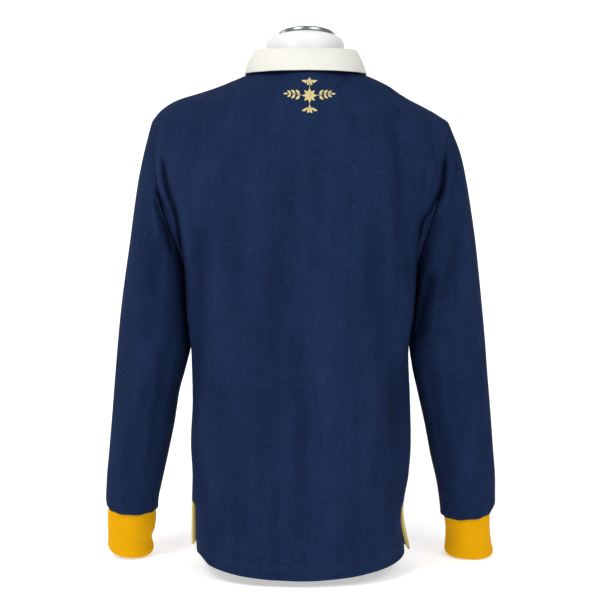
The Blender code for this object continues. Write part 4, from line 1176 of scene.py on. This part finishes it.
def navy_thread():
    """Sewing thread of the jersey."""
    navy = [THREAD_SHADE * value for value in bpy.context.scene.shirt_colours.navy]
    return sewing_thread("navy thread", navy, 0.60, 0.10)


def ivory_thread():
    """Sewing thread of the collar and the placket."""
    return sewing_thread("ivory thread", bpy.context.scene.shirt_colours.ivory, 0.50, 0.03)


def gold_thread():
    """Sewing thread of the vent tapes."""
    return sewing_thread("gold thread", bpy.context.scene.shirt_colours.gold, 0.55, 0.05)


# ---------------------------------------------------------------- collar, placket, tapes
FOLD_REACH = 0.0024       # half the width of the rolled top edge
FALL_BELLY = 0.0024       # how far the fall rounds out between its edges
BASE_INSET = 0.0012       # the stand rises this far inside the neck seam's outer edge
FOLD_DROP = 1.2           # height of the rolled edge, in FOLD_REACH
STAND_LEAN = 0.0008       # how far the stand bows in between its edges
FRONT_SHARE = 0.93        # share of each half of the front neckline under the collar
COLLAR_COLUMNS = 221
COLLAR_GRID = 0.0013      # spacing of its rows
# Slow waves along the fall: height, waves from end to end in radians, and start.
COLLAR_WAVES = ((0.0008, 9.0, 0.6), (0.0005, 23.0, 0.0))
ON_TOP = 0.0005           # room under what lies on a panel
PLACKET_WIDTH = 0.034
PLACKET_TOP = 0.7125
PLACKET_BOTTOM = 0.560
PLACKET_ROWS, PLACKET_COLUMNS = 0.0025, 0.0020    # their spacing
BUTTON_HEIGHTS = (0.690, 0.645, 0.600)
BUTTON_RADIUS = 0.0065
TAPE_WIDTH = 0.0196       # width of a tape laid flat
TAPE_FOLD = 0.0007        # how far inside the panel's edge the tape's fold has its middle
TAPE_OUTSIDE = 0.0024     # how far the tape reaches in on the outer face
TAPE_INSIDE = 0.0105      # and on the inner face
TAPE_LOW, TAPE_HIGH = HEM_SIDE + 0.0006, VENT_TOP - 0.001    # its two ends
TAPE_GRID = 0.0016        # spacing of its columns on the inner face
OUTSIDE_COLUMNS = 4
FOLD_COLUMNS = 9          # columns round the fold
BEYOND_STEP = 0.003       # length over which the way out past the edge is read


def collar_sheet():
    """The stand, the rolled edge and the fall, from the neck seam to the fall's edge."""
    sizes = bpy.context.scene.shirt_sizes
    step = np.linspace(-1.0, 1.0, COLLAR_COLUMNS)
    side, around = np.where(step < 0.0, -1.0, 1.0), np.abs(step)
    values = table_values(COLLAR, around)
    top = np.stack((NECK_X + side * values[:, 0], values[:, 1], values[:, 2]), axis=1)
    low = np.stack((NECK_X + side * values[:, 3], values[:, 4], values[:, 5]), axis=1)
    behind = panel_points(BACK, 0.5 + side * np.minimum(around, 0.5), NECK_LINE)
    to_front = (np.maximum(around, 0.5) - 0.5) * FRONT_SHARE
    before = panel_points(FRONT, 0.5 + side * (0.5 - to_front), NECK_LINE)
    base = np.where(around[:, None] <= 0.5, behind, before)
    away = unit((low - top) * np.array((1.0, 1.0, 0.0)))
    up = np.array((0.0, 0.0, 1.0))
    base = base - away * BASE_INSET + up * BASE_INSET
    inside = top - away * FOLD_REACH - up * FOLD_REACH * FOLD_DROP
    outside = top + away * FOLD_REACH - up * FOLD_REACH * FOLD_DROP
    lift = sum(height * np.sin(waves * step + start) for height, waves, start in COLLAR_WAVES)
    belly = (outside + low) / 2.0 + away * (FALL_BELLY + lift[:, None])
    stand = (base + inside) / 2.0 - away * STAND_LEAN
    rings = np.array((base, stand, inside, top, outside, belly, low))
    grid = fill_between(rings, COLLAR_GRID)
    roll_row = int(np.argmax(grid[:, COLLAR_COLUMNS // 2, 2]))
    from_neck = (grid - np.array((NECK_X, 0.0, 0.0))) * np.array((1.0, 1.0, 0.0))
    outwards = from_neck * np.where(np.arange(len(grid)) < roll_row, -1.0, 1.0)[:, None, None]
    grid = grid + grid_normals(grid, False, outwards) * (sizes.twill / 2.0)
    return sheet(grid, False, outwards, sizes.twill, None)


def placket_sheet():
    """The outer face of the strip down the middle of the front."""
    sizes = bpy.context.scene.shirt_sizes
    length = PLACKET_TOP - PLACKET_BOTTOM
    z = PLACKET_BOTTOM + length * fine_edges(length, PLACKET_ROWS)
    x = NECK_X + PLACKET_WIDTH * (fine_edges(PLACKET_WIDTH, PLACKET_COLUMNS) - 0.5)
    x, z = np.meshgrid(x, z)
    lift = crease_height(FRONT, x, z)
    grid = np.stack((x, depth_at(FRONT, x, z) + SEAM_GAP / 2.0 + lift, z), axis=-1)
    outwards = np.array((0.0, 1.0, 0.0))
    grid = grid + grid_normals(grid, False, outwards) * (ON_TOP + sizes.twill)
    return sheet(grid, False, outwards, sizes.twill, z[:, 0])


def tape_sheet(side):
    """A tape folded over a vent edge of the front panel, most of it on the inner face."""
    sizes = bpy.context.scene.shirt_sizes
    front = made_sheet("cloth_front")
    reach = sizes.jersey / 2.0 + ON_TOP + sizes.tape

    def middle_line(mark):
        """A line in the middle of the panel's cloth, at one distance from the vent's edge."""
        places, facing = edge_line(front, mark, side, TAPE_LOW, TAPE_HIGH, "flat_inner")
        return places + facing * (sizes.jersey / 2.0), facing

    faces = []
    for mark in np.linspace(TAPE_OUTSIDE, TAPE_FOLD, OUTSIDE_COLUMNS)[:-1]:
        places, facing = middle_line(mark)
        faces.append((places + facing * reach, facing))
    rim, facing = middle_line(TAPE_FOLD)
    beyond = unit(rim - middle_line(TAPE_FOLD + BEYOND_STEP)[0])
    for angle in np.linspace(0.0, np.pi, FOLD_COLUMNS):
        turned_out = unit(facing * math.cos(angle) + beyond * math.sin(angle))
        faces.append((rim + turned_out * reach, turned_out))
    for mark in TAPE_FOLD + fine_edges(TAPE_INSIDE, TAPE_GRID)[1:] * TAPE_INSIDE:
        places, facing = middle_line(mark)
        faces.append((places - facing * reach, -facing))
    grid = np.stack([places for places, _ in faces], axis=1)
    outwards = np.stack([facing for _, facing in faces], axis=1)
    return sheet(grid, False, outwards, sizes.tape, grid[:, 0, 2])


PROBE = 0.004             # how far away the slope of the front is read


def on_front(x, z):
    """A point of the smooth front and the way that it faces."""
    here, right, up = (np.array((a, float(depth_at(FRONT, np.array(a), np.array(b))), b))
                       for a, b in ((x, z), (x + PROBE, z), (x, z + PROBE)))
    return here + np.array((0.0, SEAM_GAP / 2.0, 0.0)), unit(np.cross(up - here, right - here))


BUTTON_SIDES = 72
# The button's under side and rim: share of its radius, and height.
BUTTON_RIM = (
    (0.78, 0.0), (0.93, 0.00012), (0.99, 0.0006), (1.0, 0.0014), (0.985, 0.0021),
    (0.94, 0.0027), (0.88, 0.0030), (0.81, 0.0028), (0.74, 0.0023), (0.68, 0.0021),
)
DISH_RINGS = 15           # rings of the shallow dish inside the rim
DISH_DEPTH = 0.0002       # how much lower its middle lies than the rim's last ring
HOLE_PLACE = 0.00125      # how far a button's four holes lie from its two middle lines
HOLE_RADIUS = 0.00055
HOLE_EDGE = 0.00035       # how wide the rolled edge of a hole is
HOLE_DEPTH = 0.0013


def button_rings(middle, normal):
    """Rings from the rubber button's under side, over its rim, to its middle."""
    rim_radius, rim_height = BUTTON_RIM[-1]
    dish = [(rim_radius - rim_radius * k / DISH_RINGS, rim_height - DISH_DEPTH * k / DISH_RINGS)
            for k in range(1, DISH_RINGS)]
    across = unit(np.cross(np.array((0.0, 0.0, 1.0)), normal))
    up = np.cross(normal, across)
    turn = np.linspace(0.0, 2.0 * np.pi, BUTTON_SIDES, endpoint=False)
    rings = []
    for number, (radius, height) in enumerate((*BUTTON_RIM, *dish)):
        a, b = np.cos(turn) * radius * BUTTON_RADIUS, np.sin(turn) * radius * BUTTON_RADIUS
        heights = np.full(BUTTON_SIDES, height)
        if number >= len(BUTTON_RIM):
            from_hole = np.hypot(np.abs(a) - HOLE_PLACE, np.abs(b) - HOLE_PLACE)
            heights -= HOLE_DEPTH * (1.0 - smooth_step((from_hole - HOLE_RADIUS) / HOLE_EDGE))
        rings.append(middle + np.outer(a, across) + np.outer(b, up) + np.outer(heights, normal))
    return np.array(rings), across, up


# ---------------------------------------------------------------- needlework
MOTIF_X, MOTIF_Z = 0.0140, 0.7310   # the motif's middle on the back
LEAF_ROWS, LEAF_COLUMNS = 13, 7
LEAF_HEIGHT = 0.00055     # how far the stitches of a leaf stand up
PETAL_HEIGHT = 0.0007
PETAL_ROOT = 0.20         # a petal starts this share of its length from the middle
LEAF_LEAST = 0.15         # share of the height that is left at a leaf's edge
KNOT_ROWS, KNOT_SIDES = 7, 16
KNOT_RADIUS = 0.26        # as a share of a petal's length
KNOT_BUMPS, KNOT_BUMP = 8.0, 0.10
KNOT_BASE, KNOT_RISE = 0.0002, 0.0011

# Leaves of the motif: place of the root, the way it points (degrees), length, width
# and bend.  x and z count from the motif's middle, on its right half.
SPRAY = (
    # x      z       points length width  bend
    (0.0150, 0.0015, 52.0, 0.0085, 0.0040, 0.10),
    (0.0150, 0.0005, -50.0, 0.0085, 0.0040, -0.10),
    (0.0215, 0.0025, 46.0, 0.0078, 0.0037, 0.10),
    (0.0215, 0.0015, -46.0, 0.0078, 0.0037, -0.10),
    (0.0275, 0.0030, 38.0, 0.0066, 0.0033, 0.10),
    (0.0275, 0.0022, -40.0, 0.0066, 0.0033, -0.10),
    (0.0320, 0.0028, 2.0, 0.0062, 0.0030, 0.00),
    (0.0045, 0.0185, 28.0, 0.0080, 0.0036, 0.14),
    (0.0045, -0.0185, -28.0, 0.0080, 0.0036, -0.14),
)
FLOWERS = (
    # x      z      petals length  width
    (0.0000, 0.0000, 8, 0.0088, 0.0044),
    (0.0000, 0.0205, 5, 0.0052, 0.0036),
    (0.0000, -0.0205, 5, 0.0052, 0.0036),
)
STEMS = (
    ((0.0100, 0.0000), (0.0180, 0.0016), (0.0330, 0.0028)),
    ((0.0000, 0.0100), (0.0000, 0.0160)),
    ((0.0000, -0.0100), (0.0000, -0.0160)),
)


class Ground:
    """Finds the back panel's outer face under places of the view from behind."""

    def __init__(self):
        """Reads the back panel's outer face."""
        outer = made_sheet("cloth_back")["outer"]
        quads, _, _ = grid_faces(outer.shape[0], outer.shape[1], False)
        self.tree = BVHTree.FromPolygons(outer.reshape(-1, 3).tolist(), quads.tolist())

    def at(self, x, z):
        """The point of the back at a place of its view, and the way that it faces."""
        place, normal, _, _ = self.tree.ray_cast(Vector((x, -1.0, z)), Vector((0.0, 1.0, 0.0)))
        if place is None:
            raise RuntimeError("the motif runs off the back panel")
        return np.array(place), np.array(normal if normal.y < 0.0 else -normal)


def leaf(ground, x, z, points, length, width, bend, thick=LEAF_HEIGHT):
    """A satin-stitched leaf: points, faces and corner places of its domed patch."""
    along, across = np.linspace(0.0, 1.0, LEAF_ROWS), np.linspace(-1.0, 1.0, LEAF_COLUMNS)
    turn = math.radians(points)
    ahead, beside = (math.cos(turn), math.sin(turn)), (-math.sin(turn), math.cos(turn))
    grid, places = [], []
    for a in along:
        half = width / 2.0 * math.sin(math.pi * (0.04 + 0.93 * a) ** 0.85)
        curve = bend * length * math.sin(math.pi * a)
        for c in across:
            u, v = a * length, c * half + curve
            spot, normal = ground.at(x + u * ahead[0] + v * beside[0],
                                     z + u * ahead[1] + v * beside[1])
            lift = thick * (math.sqrt(max(1.0 - c * c, 0.0)) + LEAF_LEAST)
            grid.append(spot + normal * lift)
            places.append((u, c * half))
    faces, _, _ = grid_faces(LEAF_ROWS, LEAF_COLUMNS, False)
    return np.array(grid), faces, np.array(places)[faces]


def knot(ground, x, z, radius):
    """A small round heap of knots in the middle of a flower."""
    spot, normal = ground.at(x, z)
    across = unit(np.cross(normal, np.array((0.0, 0.0, 1.0))))
    up = np.cross(across, normal)
    turn = np.linspace(0.0, 2.0 * np.pi, KNOT_SIDES, endpoint=False)
    points = []
    for k in range(KNOT_ROWS):
        tilt = math.pi / 2.0 * k / (KNOT_ROWS - 1)
        wave = 1.0 + KNOT_BUMP * np.sin(KNOT_BUMPS * turn) * math.cos(tilt)
        points.append(spot + np.outer(np.cos(turn) * wave, across) * radius * math.cos(tilt)
                      + np.outer(np.sin(turn) * wave, up) * radius * math.cos(tilt)
                      + normal * (KNOT_BASE + KNOT_RISE * math.sin(tilt)))
    faces, _, _ = grid_faces(KNOT_ROWS, KNOT_SIDES, True)
    points = np.concatenate(points)
    return points, faces, points[faces][..., (0, 2)]


# ---------------------------------------------------------------- the dress form
FORM_CLEAR = 0.0022       # how far the form's shoulders lie under the cloth's slices
FORM_DEPTH = 0.93         # their depth, as a share of the cloth's
FORM_SIDES = 120
FORM_GRID = 0.004         # spacing of its rows
FORM_LOW = (
    # height left    right   back    front   fwd    round tilt
    (0.000, -0.0800, 0.0800, 0.0480, 0.0540, 0.000, 2.2, 0),
    (0.004, -0.0830, 0.0830, 0.0510, 0.0570, 0.000, 2.2, 0),
    (0.060, -0.0950, 0.0950, 0.0620, 0.0640, 0.000, 2.2, 0),
    (0.150, -0.1140, 0.1140, 0.0780, 0.0770, 0.000, 2.2, 0),
    (0.250, -0.1280, 0.1280, 0.0900, 0.0860, 0.000, 2.2, 0),
    (0.350, -0.1370, 0.1370, 0.0980, 0.0930, 0.000, 2.2, 0),
    (0.450, -0.1460, 0.1460, 0.1040, 0.0970, 0.000, 2.2, 0),
    (0.540, -0.1620, 0.1600, 0.1080, 0.0980, 0.000, 2.2, 0),
    (0.600, -0.1790, 0.1760, 0.1085, 0.0950, 0.000, 2.2, 0),
    (0.645, -0.1930, 0.1890, 0.1070, 0.0900, 0.000, 2.15, 0),
    (0.680, -0.2010, 0.1930, 0.1050, 0.0830, 0.000, 2.05, 0),
    (0.702, -0.2020, 0.1880, 0.1025, 0.0760, 0.000, 1.85, 0),
)
FORM_SHOULDER = (0.716, 0.725, 0.734, 0.743, 0.752, 0.760)
FORM_NECK = (
    (0.768, -0.0590, 0.0770, 0.0600, 0.0430, 0.000, 2.0, 0),
    (0.778, -0.0500, 0.0690, 0.0540, 0.0465, 0.001, 2.0, 2),
    (0.792, -0.0515, 0.0678, 0.0520, 0.0510, 0.004, 2.0, 6),
    (0.806, -0.0517, 0.0680, 0.0515, 0.0530, 0.008, 2.0, 10),
    (0.8125, -0.0512, 0.0675, 0.0505, 0.0519, 0.010, 2.0, 13),
    (0.8162, -0.0493, 0.0655, 0.0483, 0.0493, 0.011, 2.0, 15),
    (0.8182, -0.0440, 0.0604, 0.0446, 0.0450, 0.011, 2.0, 15),
)
CAP_X = 0.0100            # the plate's middle
CAP_RADIUS = 0.0452
CAP_THICKNESS = 0.0075
CAP_SIDES = 128
# The plate with its raised rim and the knob on it, as shares of radius and thickness.
CAP_PROFILE = (
    (0.935, 0.00), (0.955, 0.00), (0.985, 0.05), (1.0, 0.16), (1.0, 0.50), (1.0, 0.84),
    (0.985, 0.96), (0.965, 1.0), (0.930, 1.0), (0.918, 0.95), (0.912, 0.80), (0.900, 0.78),
    (0.60, 0.86), (0.30, 0.90), (0.13, 0.91), (0.12, 1.02), (0.09, 1.08), (0.04, 1.10),
)


def form_rings():
    """Rings of the form: a torso on a flat foot, its shoulders and its neck."""
    rows = list(FORM_LOW)
    for z in FORM_SHOULDER:
        left, right, back, front, power = table_values(SLICES, np.array(z + FORM_CLEAR))
        rows.append((z, left + FORM_CLEAR, right - FORM_CLEAR, back * FORM_DEPTH,
                     front * FORM_DEPTH, 0.0, power, 0))
    rows += FORM_NECK
    angle = np.linspace(0.0, 2.0 * np.pi, FORM_SIDES, endpoint=False)
    c, s = np.cos(angle), np.sin(angle)
    rings = []
    for height, left, right, back, front, forward, power, tilt in rows:
        x = (left + right) / 2.0 + (right - left) / 2.0 * rounded(c, power)
        y = np.where(s > 0.0, front, back) * rounded(s, power)
        rings.append(np.stack((x, forward + y, height - y * math.tan(math.radians(tilt))), axis=-1))
    return np.array(rings)


# ---------------------------------------------------------------- operators
class SHIRT_OT_panels(bpy.types.Operator):
    """Build the back and the front, with their armholes, tail and open vents"""
    bl_idname = "shirt.panels"
    bl_label = "Back and front"

    def execute(self, context):
        for name, half, solid, area in (("cloth_back", BACK, "body_back", 0.335),
                                        ("cloth_front", FRONT, "body_front", 0.315)):
            made = cloth_object(name, panel_sheet(half), navy_jersey(), (solid,))
        return {"FINISHED"}


class SHIRT_OT_sleeves(bpy.types.Operator):
    """Build the two long sleeves, gathered a little at the cuffs"""
    bl_idname = "shirt.sleeves"
    bl_label = "Sleeves"

    def execute(self, context):
        for side in ("left", "right"):
            made = cloth_object("cloth_sleeve_" + side, sleeve_sheet(side), navy_jersey(),
                                ("sleeve_" + side,))
        return {"FINISHED"}


class SHIRT_OT_cuffs(bpy.types.Operator):
    """Build the ribbed cuffs"""
    bl_idname = "shirt.cuffs"
    bl_label = "Cuffs"

    def execute(self, context):
        for side in ("left", "right"):
            made = cloth_object("knit_cuff_" + side, cuff_sheet(side), yellow_knit(),
                                ("cuff_" + side,))
        return {"FINISHED"}


class SHIRT_OT_collar(bpy.types.Operator):
    """Build the twill collar, folded over on its stand"""
    bl_idname = "shirt.collar"
    bl_label = "Collar"

    def execute(self, context):
        made = cloth_object("twill_collar", collar_sheet(), ivory_twill(),
                            ("collar",))
        return {"FINISHED"}


TIE_HEIGHT = 0.0021       # how high the ties lie over a button's under side
TIE_LENGTH = 2.83         # from a hole to the one across, in HOLE_PLACE
TIE_THREAD = 0.00042
BUTTONHOLE_HALF = 0.0088  # half the length of a buttonhole
BUTTONHOLE_SIDE = 0.0009  # how far its two sewn sides lie from its middle
BUTTONHOLE_MARKS = 9
BUTTONHOLE_PITCH = 0.0007
BUTTONHOLE_THREAD = 0.00034


class SHIRT_OT_placket(bpy.types.Operator):
    """Build the front placket with its three rubber buttons and their holes"""
    bl_idname = "shirt.placket"
    bl_label = "Placket and buttons"

    def execute(self, context):
        sizes = context.scene.shirt_sizes
        made = cloth_object("twill_placket", placket_sheet(), ivory_twill(),
                            ("placket",))
        rubber = plain_finish("button rubber", context.scene.shirt_colours.rubber, 0.42,
                              speckled=0.03, scale=0.002)
        reach = np.linspace(-BUTTONHOLE_HALF, BUTTONHOLE_HALF, BUTTONHOLE_MARKS)[:, None]
        ties, holes = [], []
        for number, z in enumerate(BUTTON_HEIGHTS, 1):
            base, normal = on_front(NECK_X, z)
            middle = base + normal * (ON_TOP * 2.0 + sizes.twill)
            rings, across, up = button_rings(middle, normal)
            ring_object("rubber_button_%d" % number, rings, rubber,
                        ("button_%d" % number,))
            for lean in (-1.0, 1.0):
                end = HOLE_PLACE * (across + lean * up)
                line = middle + normal * TIE_HEIGHT + np.array((-end, end))
                ties.append((line, np.array((normal, normal))))
            for side in (-1.0, 1.0):
                line = (base + normal * (ON_TOP + sizes.twill) + side * BUTTONHOLE_SIDE * across
                        + reach * up)
                holes.append((line, np.repeat(normal[None], BUTTONHOLE_MARKS, axis=0)))
        stitches("button_ties", ties, HOLE_PLACE * TIE_LENGTH, TIE_THREAD, ivory_thread(),
                 length=1.0)
        stitches("buttonholes", holes, BUTTONHOLE_PITCH, BUTTONHOLE_THREAD, ivory_thread(),
                 length=0.9)
        return {"FINISHED"}


class SHIRT_OT_tapes(bpy.types.Operator):
    """Build the twill tapes, folded over the front panel's vent edges"""
    bl_idname = "shirt.tapes"
    bl_label = "Vent tapes"

    def execute(self, context):
        for name, side in (("left", -1), ("right", 1)):
            made = cloth_object("twill_tape_" + name, tape_sheet(side), gold_twill(),
                                ("vent_tape_" + name,))
        return {"FINISHED"}


# How far the rows of sewing lie from the edges that they follow.
HEM_ROWS = (0.0, -0.0045)           # from the turned hem's upper edge
ARMHOLE_ROW = 0.0034
VENT_ROW = 0.0060
SHOULDER_LINES = (0.0030, 0.0075)
CUFF_ROW = 0.0030
COLLAR_ROW = 0.0055
PLACKET_SIDE_ROW = 0.0022
PLACKET_CROSS_ROWS = (0.0022, 0.0200)
TAPE_ROW = 0.0014
TWILL_PITCH, TAPE_PITCH = 0.85, 0.9    # as shares of the jersey's


class SHIRT_OT_sewing(bpy.types.Operator):
    """Sew the hems, armholes, shoulders, cuffs, collar, placket and tapes"""
    bl_idname = "shirt.sewing"
    bl_label = "Sewing"

    def execute(self, context):
        sizes = context.scene.shirt_sizes
        pitch, radius = sizes.stitch_pitch, sizes.thread
        navy, ivory = navy_thread(), ivory_thread()
        hems, joins = [], []
        for name in ("cloth_back", "cloth_front"):
            cloth = made_sheet(name)
            hems += [row_line(cloth, sizes.hem + step, margin=4) for step in HEM_ROWS]
            for side in (-1, 1):
                joins.append(edge_line(cloth, ARMHOLE_ROW, side, ARMPIT + 0.006,
                                       SHOULDER_TIP - 0.006))
                hems.append(edge_line(cloth, VENT_ROW, side, HEM_SIDE + 0.002, VENT_TOP + 0.004))
        for side in (-1, 1):
            for step in SHOULDER_LINES:
                joins.append(edge_line(made_sheet("cloth_back"), step, side, SHOULDER_TIP + 0.002,
                                       NECK_LINE - 0.004))
        stitches("hem_sewing", hems, pitch, radius, navy)
        stitches("seam_sewing", joins, pitch, radius, navy)
        ends = [row_line(made_sheet("cloth_sleeve_" + side), CUFF_ROW, from_top=True)
                for side in ("left", "right")]
        stitches("cuff_sewing", ends, pitch, radius, navy)
        collar = made_sheet("twill_collar")
        edges = [row_line(collar, COLLAR_ROW, from_top=True, margin=8)]
        placket = made_sheet("twill_placket")
        for side in (-1, 1):
            edges.append(edge_line(placket, PLACKET_SIDE_ROW, side, PLACKET_BOTTOM + 0.002,
                                   PLACKET_TOP - 0.001))
        for step in PLACKET_CROSS_ROWS:
            edges.append(row_line(placket, step, margin=4))
        stitches("twill_sewing", edges, pitch * TWILL_PITCH, radius, ivory)
        tapes = [edge_line(made_sheet("twill_tape_" + name), mark, side, HEM_SIDE + 0.002,
                           VENT_TOP - 0.003)
                 for name, side in (("left", -1), ("right", 1))
                 for mark in (TAPE_ROW, TAPE_WIDTH - TAPE_ROW)]
        stitches("tape_sewing", tapes, pitch * TAPE_PITCH, radius, gold_thread())
        return {"FINISHED"}


STEM_PITCH, STEM_THREAD = 0.0022, 0.00050


class SHIRT_OT_needlework(bpy.types.Operator):
    """Embroider a flower with two leafy sprays under the collar, at the back"""
    bl_idname = "shirt.needlework"
    bl_label = "Needlework"

    def execute(self, context):
        ground = Ground()
        parts = []
        for side in (1.0, -1.0):
            for x, z, points, length, width, bend in SPRAY:
                turn = points if side > 0.0 else 180.0 - points
                parts.append(leaf(ground, MOTIF_X + side * x, MOTIF_Z + z, turn, length, width,
                                  side * bend))
        for x, z, petals, length, width in FLOWERS:
            for k in range(petals):
                turn = 90.0 + 360.0 * k / petals
                root = PETAL_ROOT * length
                parts.append(leaf(ground, MOTIF_X + x + root * math.cos(math.radians(turn)),
                                  MOTIF_Z + z + root * math.sin(math.radians(turn)), turn, length,
                                  width, 0.0, PETAL_HEIGHT))
            parts.append(knot(ground, MOTIF_X + x, MOTIF_Z + z, KNOT_RADIUS * length))
        points, faces, places, count = [], [], [], 0
        for grid, quads, corners in parts:
            points.append(grid)
            faces.append(quads + count)
            places.append(corners)
            count += len(grid)
        thread = needlework_thread()
        mesh_object("needlework_leaves", np.concatenate(points), np.concatenate(faces).tolist(),
                    thread, np.concatenate(places))
        lines = []
        for stem in STEMS:
            for side in ((1.0, -1.0) if stem[0][0] else (1.0,)):
                spots = [ground.at(MOTIF_X + side * x, MOTIF_Z + z) for x, z in stem]
                lines.append((np.array([spot for spot, _ in spots]),
                              np.array([normal for _, normal in spots])))
        stitches("needlework_stems", lines, STEM_PITCH, STEM_THREAD, thread,
                 length=1.05)
        return {"FINISHED"}


class SHIRT_OT_form(bpy.types.Operator):
    """Build the limbless form under the shirt and the bright plate on its neck"""
    bl_idname = "shirt.form"
    bl_label = "Dress form"

    def execute(self, context):
        colours = context.scene.shirt_colours
        shell = plain_finish("form shell", colours.form, 0.50, speckled=0.01, depth=0.00003,
                             scale=0.012, coat=0.08)
        rings = fill_between(form_rings(), FORM_GRID, middle_only=True)
        ring_object("form_shell", rings, shell, ("form_torso",))
        height, _, _, _, _, forward, _, tilt = FORM_NECK[-1]
        lean = math.radians(tilt)
        normal = np.array((0.0, math.sin(lean), math.cos(lean)))
        middle = np.array((CAP_X, forward, height)) + normal * SEAM_GAP
        profile = [(radius * CAP_RADIUS, height * CAP_THICKNESS) for radius, height in CAP_PROFILE]
        metal = plain_finish("neck plate", colours.plate, 0.24, metallic=1.0, speckled=0.03,
                             depth=0.00001, scale=0.004)
        turned("neck_plate", profile, middle, normal, CAP_SIDES, metal, ("form_cap",))
        return {"FINISHED"}


# ---------------------------------------------------------------- the studio
CAMERA_PLACE = Vector((0.0, -2.2, 0.6532))
CAMERA_AIM = Vector((0.0, 0.0, 0.4207))
LENS = 85.6355            # millimetres, on a square frame
FRAME_WIDTH = 36.0        # millimetres
SWEEP_HALF = 4.5          # half the sweep's width
SWEEP_FRONT = -4.0        # where the floor starts
SWEEP_BACK = 2.2          # where it starts to curve up
SWEEP_RADIUS = 0.9
SWEEP_TOP = 3.6
SWEEP_STEPS = 16          # steps of the curve
PAPER_GLOW = 0.45         # keeps the paper pale where the lights miss it
ROOM_LIGHT = 0.38         # how much light the room itself gives
SEEN_ROOM = 0.92          # how bright it looks beyond the sweep

# Soft lights: name; place; where each aims; width and height; watts; colour.
LIGHTS = (
    ("key", (-1.1, -1.3, 2.15), (0.0, 0.0, 0.74), 0.8, 0.8, 27.0, (1.0, 0.99, 0.97)),
    ("fill", (1.3, -1.8, 2.3), (0.0, 0.0, 0.70), 1.6, 1.6, 29.0, (0.98, 0.99, 1.0)),
    ("side", (-2.2, 0.60, 1.0), (-0.25, 0.0, 0.35), 0.6, 1.6, 8.0, (1.0, 1.0, 1.0)),
)


class SHIRT_OT_stage(bpy.types.Operator):
    """Build the pale sweep, the soft lights and the camera"""
    bl_idname = "shirt.stage"
    bl_label = "Studio"

    def execute(self, context):
        scene = context.scene
        paper = plain_finish("studio paper", scene.shirt_colours.floor, 0.9, speckled=0.004,
                             depth=0.0001, scale=0.4)
        glow = paper.node_tree.nodes["Principled BSDF"].inputs
        glow["Emission Color"].default_value = (1.0, 1.0, 1.0, 1.0)
        glow["Emission Strength"].default_value = PAPER_GLOW
        profile = [(SWEEP_FRONT, 0.0)]
        for k in range(SWEEP_STEPS + 1):
            turn = math.pi / 2.0 * k / SWEEP_STEPS
            profile.append((SWEEP_BACK + SWEEP_RADIUS * math.sin(turn),
                            SWEEP_RADIUS - SWEEP_RADIUS * math.cos(turn)))
        profile.append((SWEEP_BACK + SWEEP_RADIUS, SWEEP_TOP))
        points = [(x, y, z) for y, z in profile for x in (-SWEEP_HALF, SWEEP_HALF)]
        faces = [(2 * k, 2 * k + 1, 2 * k + 3, 2 * k + 2) for k in range(len(profile) - 1)]
        mesh = bpy.data.meshes.new("studio_sweep")
        mesh.from_pydata(points, [], faces)
        mesh.materials.append(paper)
        mesh.shade_smooth()
        add_object("studio_sweep", mesh)
        for name, place, aim, width, height, watts, tint in LIGHTS:
            light = bpy.data.lights.new(name, "AREA")
            light.shape, light.size, light.size_y = "RECTANGLE", width, height
            light.energy, light.color = watts, tint
            lamp = add_object(name, light)
            lamp.location = place
            lamp.rotation_euler = (Vector(aim) - Vector(place)).to_track_quat("-Z", "Y").to_euler()
        world = bpy.data.worlds.new("studio")
        world.use_nodes = True
        backdrop = world.node_tree.nodes["Background"].inputs
        backdrop["Color"].default_value = (1.0, 1.0, 1.0, 1.0)
        seen = node(world.node_tree, "ShaderNodeLightPath").outputs["Is Camera Ray"]
        shown = maths(world.node_tree, "MULTIPLY_ADD", seen, SEEN_ROOM - ROOM_LIGHT, ROOM_LIGHT)
        world.node_tree.links.new(shown, backdrop["Strength"])
        scene.world = world
        view = bpy.data.cameras.new("view from behind")
        view.lens, view.sensor_width, view.clip_end = LENS, FRAME_WIDTH, 50.0
        camera = add_object("view_from_behind", view)
        camera.location = CAMERA_PLACE + Vector(CENTRING)
        camera.rotation_euler = (CAMERA_AIM - CAMERA_PLACE).to_track_quat("-Z", "Y").to_euler()
        scene.camera = camera
        scene.view_settings.view_transform = "Standard"
        return {"FINISHED"}


class SHIRT_PT_sidebar(bpy.types.Panel):
    """Sizes, colours and building steps of the shirt"""
    bl_idname = "SHIRT_PT_sidebar"
    bl_label = "Rugby shirt"
    bl_space_type = "VIEW_3D"
    bl_region_type = "UI"
    bl_category = "Shirt"

    def draw(self, context):
        for settings in (context.scene.shirt_sizes, context.scene.shirt_colours):
            column = self.layout.column(align=True)
            for key in settings.bl_rna.properties.keys():
                if key not in ("rna_type", "name"):
                    column.prop(settings, key)
        for operator in OPERATORS:
            self.layout.operator(operator.bl_idname)


OPERATORS = (SHIRT_OT_panels, SHIRT_OT_sleeves, SHIRT_OT_cuffs, SHIRT_OT_collar, SHIRT_OT_placket,
             SHIRT_OT_tapes, SHIRT_OT_sewing, SHIRT_OT_form, SHIRT_OT_needlework, SHIRT_OT_stage)
CLASSES = (ShirtSizes, ShirtColours, *OPERATORS, SHIRT_PT_sidebar)


def register():
    for kind in CLASSES:
        bpy.utils.register_class(kind)
    bpy.types.Scene.shirt_sizes = PointerProperty(type=ShirtSizes)
    bpy.types.Scene.shirt_colours = PointerProperty(type=ShirtColours)


def unregister():
    del bpy.types.Scene.shirt_colours
    del bpy.types.Scene.shirt_sizes
    for kind in reversed(CLASSES):
        bpy.utils.unregister_class(kind)


def main():
    register()
    build = bpy.ops.shirt
    for step in (build.form, build.panels, build.sleeves, build.cuffs, build.collar, build.placket,
                 build.tapes, build.sewing, build.needlework, build.stage):
        step()


if __name__ == "__main__":
    main()
